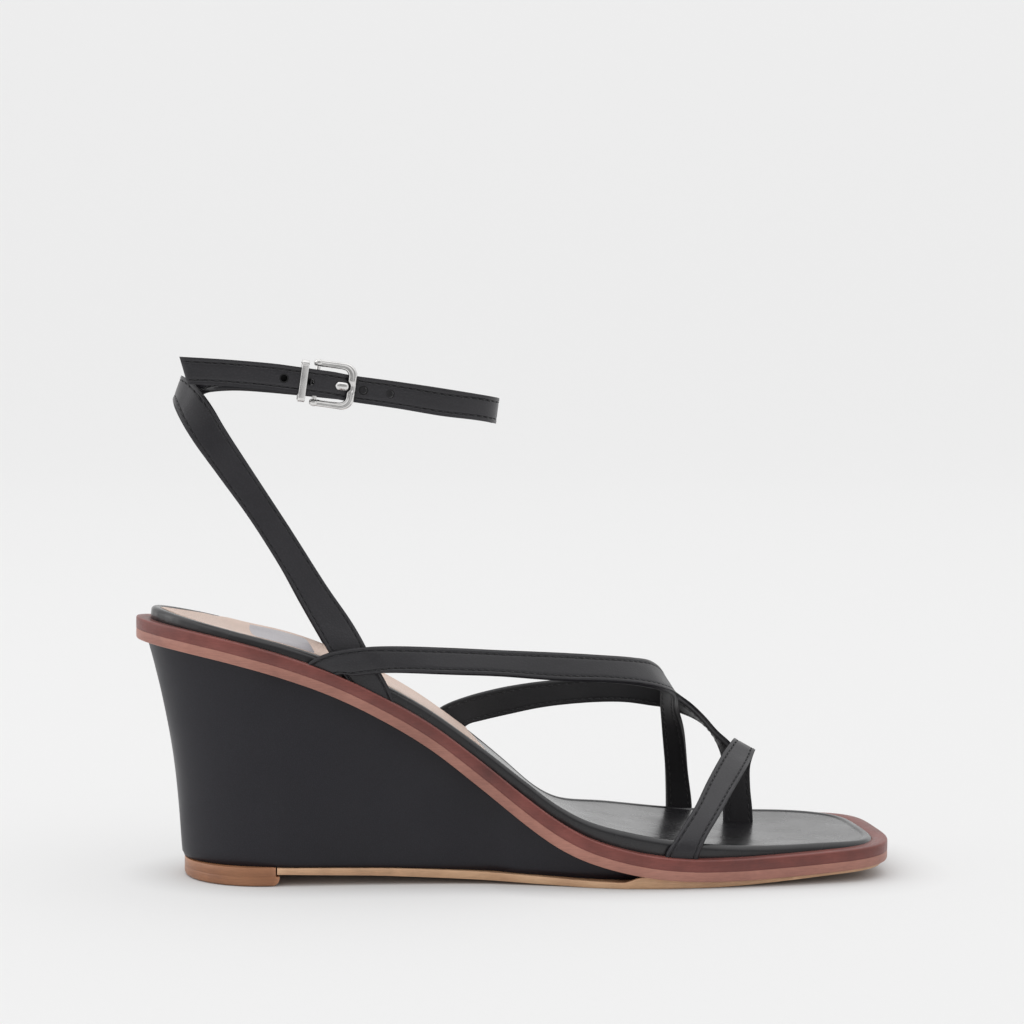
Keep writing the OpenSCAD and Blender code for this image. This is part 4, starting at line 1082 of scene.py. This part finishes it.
def turned(name, prof, Mx, seg=40, z_axis=2):
    """Closed solid of revolution about local Z from (r, z) pairs that start and end on the axis."""
    V, F = [], []
    n = len(prof)
    for i in range(seg):
        a = 2 * math.pi * i / seg
        V += [(r * math.cos(a), r * math.sin(a), z) for r, z in prof[1:-1]]
    m = n - 2
    for i in range(seg):
        i2 = (i + 1) % seg
        for j in range(m - 1):
            F.append((i * m + j, i2 * m + j, i2 * m + j + 1, i * m + j + 1))
    c0 = len(V)
    V.append((0, 0, prof[0][1]))
    V.append((0, 0, prof[-1][1]))
    for i in range(seg):
        i2 = (i + 1) % seg
        F.append((i * m, i2 * m, c0))
        F.append((i * m + m - 1, i2 * m + m - 1, c0 + 1))
    return make(name, tf(Mx, V), F, M["metal"])


fh = 6.2
bar = turned("buckle_pin_bar", [(0, -fh - 1.25), (0.45, -fh - 1.22), (0.72, -fh - 1.02), (0.72, -fh), (0.72, -3), (0.72, 0), (0.72, 3), (0.72, fh), (0.72, fh + 1.02), (0.45, fh + 1.22), (0, fh + 1.25)], BK)
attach(bar, "ankle")
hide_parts("buckle_bar")


def prong():
    # centreline in the buckle's plane: (along, out), half width and half thickness
    pts = [(0.0, 1.0, 0.8, 0.42), (0.9, 0.75, 0.82, 0.5), (2.4, 0.7, 0.8, 0.5), (4.4, 0.75, 0.72, 0.5), (5.9, 1.0, 0.62, 0.46), (6.7, 1.7, 0.58, 0.44), (7.0, 2.6, 0.56, 0.42), (7.2, 3.5, 0.5, 0.4)]
    c = np.array([(p[0], -p[1], 0) for p in pts])
    s = np.linspace(0, len(pts) - 1, 64)
    C = np.array([cr(c, q) for q in s])
    hw = np.interp(s, range(len(pts)), [p[2] for p in pts])
    ht = np.interp(s, range(len(pts)), [p[3] for p in pts])
    sect = [(math.copysign(abs(math.cos(a)) ** 0.6, math.cos(a)), math.copysign(abs(math.sin(a)) ** 0.75, math.sin(a))) for a in np.linspace(0, 2 * math.pi, 29)[:-1]]
    rings = []
    for i in range(len(C)):
        t = C[min(i + 1, len(C) - 1)] - C[max(i - 1, 0)]
        t /= np.linalg.norm(t)
        out = np.cross(t, np.array([0, 0, 1.0]))
        rings.append([C[i] + np.array([0, 0, 1.0]) * p[0] * hw[i] + out * p[1] * ht[i] for p in sect])
    V, F, _ = loft(rings)
    V = list(V)
    # the tip: a short faceted barrel that stops in the notch of the frame
    barrel = [(5.8, 0.35), (6.05, 0.72), (6.5, 0.95), (7.2, 1.0), (8.6, 1.0), (9.2, 0.93), (9.6, 0.7), (9.8, 0.4)]
    oct_ = [(1.2, 0.0), (1.2, 0.22), (0.72, 0.64), (0.3, 0.7), (-0.3, 0.7), (-0.72, 0.64), (-1.2, 0.22), (-1.2, -0.3), (-0.8, -0.45), (0.8, -0.45), (1.2, -0.3)]
    br = [[(u_, -(3.72 + 0.07 * (u_ - 7.8)) - h_ * k_, w_ * k_) for w_, h_ in oct_] for u_, k_ in barrel]
    V2, F2, _ = loft(br)
    o2 = len(V)
    V += V2
    F += [tuple(i + o2 for i in f_) for f_ in F2]
    # the eye that turns on the bar
    v0 = len(V)
    prof = [(0.8, -0.95), (1.1, -0.98), (1.28, -0.8), (1.32, 0), (1.28, 0.8), (1.1, 0.98), (0.8, 0.95)]
    nn = len(prof)
    for i in range(32):
        a = 2 * math.pi * i / 32
        V += [(p[0] * math.cos(a), p[0] * math.sin(a), p[1]) for p in prof]
    for i in range(32):
        i2 = (i + 1) % 32
        for j in range(nn):
            j2 = (j + 1) % nn
            F.append((v0 + i * nn + j, v0 + i2 * nn + j, v0 + i2 * nn + j2, v0 + i * nn + j2))
    ob = make("buckle_prong_tongue", tf(BK, V), F, M["metal"], sharp=32)
    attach(ob, "buckle_prong")
    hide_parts("buckle_prong")


prong()


def keeper():
    kh = 5.6
    u0 = -5.35 + 1.15
    # loop in the plane across the strap: y out of the strap, z up, closed rounded rectangle
    y0, y1 = -4.42, 1.58
    cy, hy_, hz = (y0 + y1) / 2, (y1 - y0) / 2, kh + 0.5
    r = 0.7
    pts = []
    for sy, sz, a0 in ((-1, 1, 90), (-1, -1, 180), (1, -1, 270), (1, 1, 0)):
        for a in np.linspace(a0, a0 + 90, 8):
            pts.append((u0, cy + sy * (hy_ - r) + r * math.cos(math.radians(a)), sz * (hz - r) + r * math.sin(math.radians(a))))
    # even sampling with straight runs between corners
    P = np.array(pts)
    Q = []
    for i in range(len(P)):
        a, b = P[i], P[(i + 1) % len(P)]
        d = np.linalg.norm(b - a)
        k = max(1, int(d / (0.14 if a[1] < cy - 1 and abs(a[0] - b[0]) < 1e-6 and d > 3 else 0.8)))
        Q += [a + (b - a) * f / k for f in range(k)]
    Q = np.array(Q)
    n = len(Q)
    rings = []
    for i in range(n):
        t = Q[(i + 1) % n] - Q[i - 1]
        t /= np.linalg.norm(t)
        x = np.array([1.0, 0, 0])
        o = np.cross(t, x)
        sec = rounded(1.12, 0.46, 0.3, 5)
        line = math.exp(-((Q[i][2] - 5.1) / 0.14) ** 4) if Q[i][1] < cy else 0.0
        sgn = 1 if np.dot(o, np.array([0, Q[i][1] - cy, 0])) > 0 else -1
        rings.append([Q[i] + x * p[0] * (1 - 0.12 * line) + o * (p[1] - (0.3 * line * sgn if p[1] * sgn > 0 else 0)) for p in sec])
    R = np.array(rings)
    m = R.shape[1]
    V = R.reshape(-1, 3).tolist()
    F = []
    for i in range(n):
        i2 = (i + 1) % n
        for j in range(m):
            j2 = (j + 1) % m
            F.append((i * m + j, i * m + j2, i2 * m + j2, i2 * m + j))
    ob = make("keeper_loop_band", tf(BK, V), F, M["metal"])
    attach(ob, "keeper")
    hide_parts("keeper_loop")


keeper()


def strap_turn():
    """The strap's end turned round the bar in two lugs, clear of the prong."""
    V, F = [], []
    def arc(z0, z1, a0, a1, n, closed):
        prof = []
        h = z1 - z0
        r0, r1 = 0.84, 1.58
        prof = [(r0, z0 + 0.05), (r0 + 0.35, z0), (r1 - 0.12, z0 + 0.08), (r1, z0 + 0.3)] + [(r1, z0 + 0.3 + (h - 0.6) * f) for f in (0.25, 0.5, 0.75)] + [(r1, z1 - 0.3), (r1 - 0.12, z1 - 0.08), (r0 + 0.35, z1), (r0, z1 - 0.05)]
        A = np.linspace(a0, a1, n + (0 if closed else 1), endpoint=not closed)
        v0 = len(V)
        m = len(prof)
        for a in A:
            V.extend([(p[0] * math.cos(a), p[0] * math.sin(a), p[1]) for p in prof])
        for i in range(len(A) - (0 if closed else 1)):
            i2 = (i + 1) % len(A)
            for j in range(m):
                j2 = (j + 1) % m
                F.append((v0 + i * m + j, v0 + i2 * m + j, v0 + i2 * m + j2, v0 + i * m + j2))
        if not closed:
            F.append(tuple(v0 + j for j in range(m)))
            F.append(tuple(v0 + (len(A) - 1) * m + j for j in range(m)))
    arc(1.4, 4.05, 0, 2 * math.pi, 40, True)
    arc(-4.05, -1.4, 0, 2 * math.pi, 40, True)
    ob = make("buckle_strap_fold", tf(BK, V), F, M["strap"])
    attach(ob, "ankle")
    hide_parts("buckle_strap_turn")


strap_turn()

# ------------------------------------------------------------------ CAD nodes that stay, with their own finishes
for n, mt in {"heel_lift_nails": "steel", "wedge_core": "cork", "insole_board": "board", "shank": "steel", "shank_rivets": "steel", "wedge_screws": "steel",
              "toe_post_anchor": "steel", "footbed_foam": "foam"}.items():
    o = NODES[n]
    o.data.materials.clear()
    o.data.materials.append(M[mt])

# ------------------------------------------------------------------ stage, light, camera
FLOOR_E, WALL_E = 0.402, 0.535


def stage():
    me = bpy.data.meshes.new("floor_sweep")
    prof = []
    for y in np.linspace(-6, 2.2, 12):
        prof.append((y, 0.0))
    for a in np.linspace(0, 90, 16)[1:]:
        prof.append((2.2 + 1.6 * math.sin(math.radians(a)), 1.6 - 1.6 * math.cos(math.radians(a))))
    prof.append((3.8, 6.0))
    V, F = [], []
    for y, z in prof:
        V += [(-8, y, z), (8, y, z)]
    for i in range(len(prof) - 1):
        F.append((2 * i, 2 * i + 1, 2 * i + 3, 2 * i + 2))
    me.from_pydata(V, [], F)
    ob = bpy.data.objects.new("floor_sweep", me)
    bpy.context.scene.collection.objects.link(ob)
    for p in me.polygons:
        p.use_smooth = True
    m, nt, b = new_mat("studio_floor")
    b.inputs["Base Color"].default_value = (0.45, 0.45, 0.45, 1)
    b.inputs["Roughness"].default_value = 0.95
    b.inputs["Specular IOR Level"].default_value = 0.05
    b.inputs["Emission Color"].default_value = (1, 1, 1, 1)
    # the upright part of the sweep gets a little more of its own light, so the backdrop is even
    geo = nd(nt, "ShaderNodeNewGeometry")
    sp = nd(nt, "ShaderNodeSeparateXYZ")
    nt.links.new(geo.outputs["Normal"], sp.inputs[0])
    ab = nd(nt, "ShaderNodeMath", operation="ABSOLUTE")
    nt.links.new(sp.outputs["Z"], ab.inputs[0])
    mr = nd(nt, "ShaderNodeMapRange")
    mr.inputs["To Min"].default_value = WALL_E
    mr.inputs["To Max"].default_value = FLOOR_E
    nt.links.new(ab.outputs[0], mr.inputs["Value"])
    # painted contact shadow: the floor's glow is multiplied by ambient occlusion near the shoe
    contact_shadow_ao = nd(nt, "ShaderNodeAmbientOcclusion", Distance=0.022, samples=12)
    mu = nd(nt, "ShaderNodeMath", operation="MULTIPLY")
    nt.links.new(mr.outputs["Result"], mu.inputs[0])
    nt.links.new(contact_shadow_ao.outputs["AO"], mu.inputs[1])
    nt.links.new(mu.outputs[0], b.inputs["Emission Strength"])
    me.materials.append(m)


stage()


def area(name, loc, target, size, power, col=(1, 1, 1)):
    l = bpy.data.lights.new(name, "AREA")
    l.shape = "RECTANGLE"
    l.size, l.size_y = size
    l.energy = power
    l.color = col
    o = bpy.data.objects.new(name, l)
    o.location = loc
    d = Vector(target) - Vector(loc)
    o.rotation_euler = d.to_track_quat("-Z", "Y").to_euler()
    bpy.context.scene.collection.objects.link(o)


area("left_strip", (-1.3, 0.1, 0.7), (0, 0, 0.06), (0.5, 1.3), 2.0)

w = bpy.data.worlds.new("studio")
bpy.context.scene.world = w
w.use_nodes = True
wt = w.node_tree
bg = wt.nodes["Background"]
bg.inputs["Color"].default_value = (1, 1, 1, 1)
# a white tent: brighter overhead, a soft box to the left, darker behind the camera
LW = wt.links.new
tc = nd(wt, "ShaderNodeTexCoord")
sx = nd(wt, "ShaderNodeSeparateXYZ")
LW(tc.outputs["Generated"], sx.inputs[0])


def lobe(axis, sign, f0, f1, v):
    a = nd(wt, "ShaderNodeMath", operation="MULTIPLY")
    LW(sx.outputs[axis], a.inputs[0])
    a.inputs[1].default_value = sign
    b_ = nd(wt, "ShaderNodeMapRange", interpolation_type="SMOOTHSTEP")
    LW(a.outputs[0], b_.inputs["Value"])
    for k_, v_ in (("From Min", f0), ("From Max", f1), ("To Min", 0.0), ("To Max", v)):
        b_.inputs[k_].default_value = v_
    return b_.outputs["Result"]


def plus(a, b_):
    n_ = nd(wt, "ShaderNodeMath", operation="ADD")
    LW(a, n_.inputs[0])
    if isinstance(b_, float):
        n_.inputs[1].default_value = b_
    else:
        LW(b_, n_.inputs[1])
    return n_.outputs[0]


tot = plus(plus(plus(lobe("Z", 1.0, 0.25, 0.95, 0.5), lobe("X", -1.0, 0.8, 0.97, 0.5)), lobe("Y", -1.0, 0.6, 0.97, -0.42)), 0.76)
LW(tot, bg.inputs["Strength"])

cam = bpy.data.cameras.new("camera")
co_ = bpy.data.objects.new("camera", cam)
bpy.context.scene.collection.objects.link(co_)
bpy.context.scene.camera = co_
cam.sensor_width = 36
cam.lens = 2812.5 / 1024 * 36
cam.clip_start, cam.clip_end = 0.05, 50
al, el, ro = math.radians(7.8), math.radians(3.585), math.radians(0.54)
f = np.array([math.sin(al) * math.cos(el), math.cos(al) * math.cos(el), -math.sin(el)])
r = np.array([math.cos(al), -math.sin(al), 0.0])
u = np.cross(r, f)
R1 = math.cos(ro) * r + math.sin(ro) * u
U1 = math.cos(ro) * u - math.sin(ro) * r
co_.matrix_world = Matrix(((R1[0], U1[0], -f[0], -0.1231), (R1[1], U1[1], -f[1], -0.8908), (R1[2], U1[2], -f[2], 0.1713), (0, 0, 0, 1)))

sc = bpy.context.scene
sc.view_settings.view_transform = "Standard"
sc.view_settings.look = "None"
sc.view_settings.exposure = 0.0
sc.view_settings.gamma = 1.0
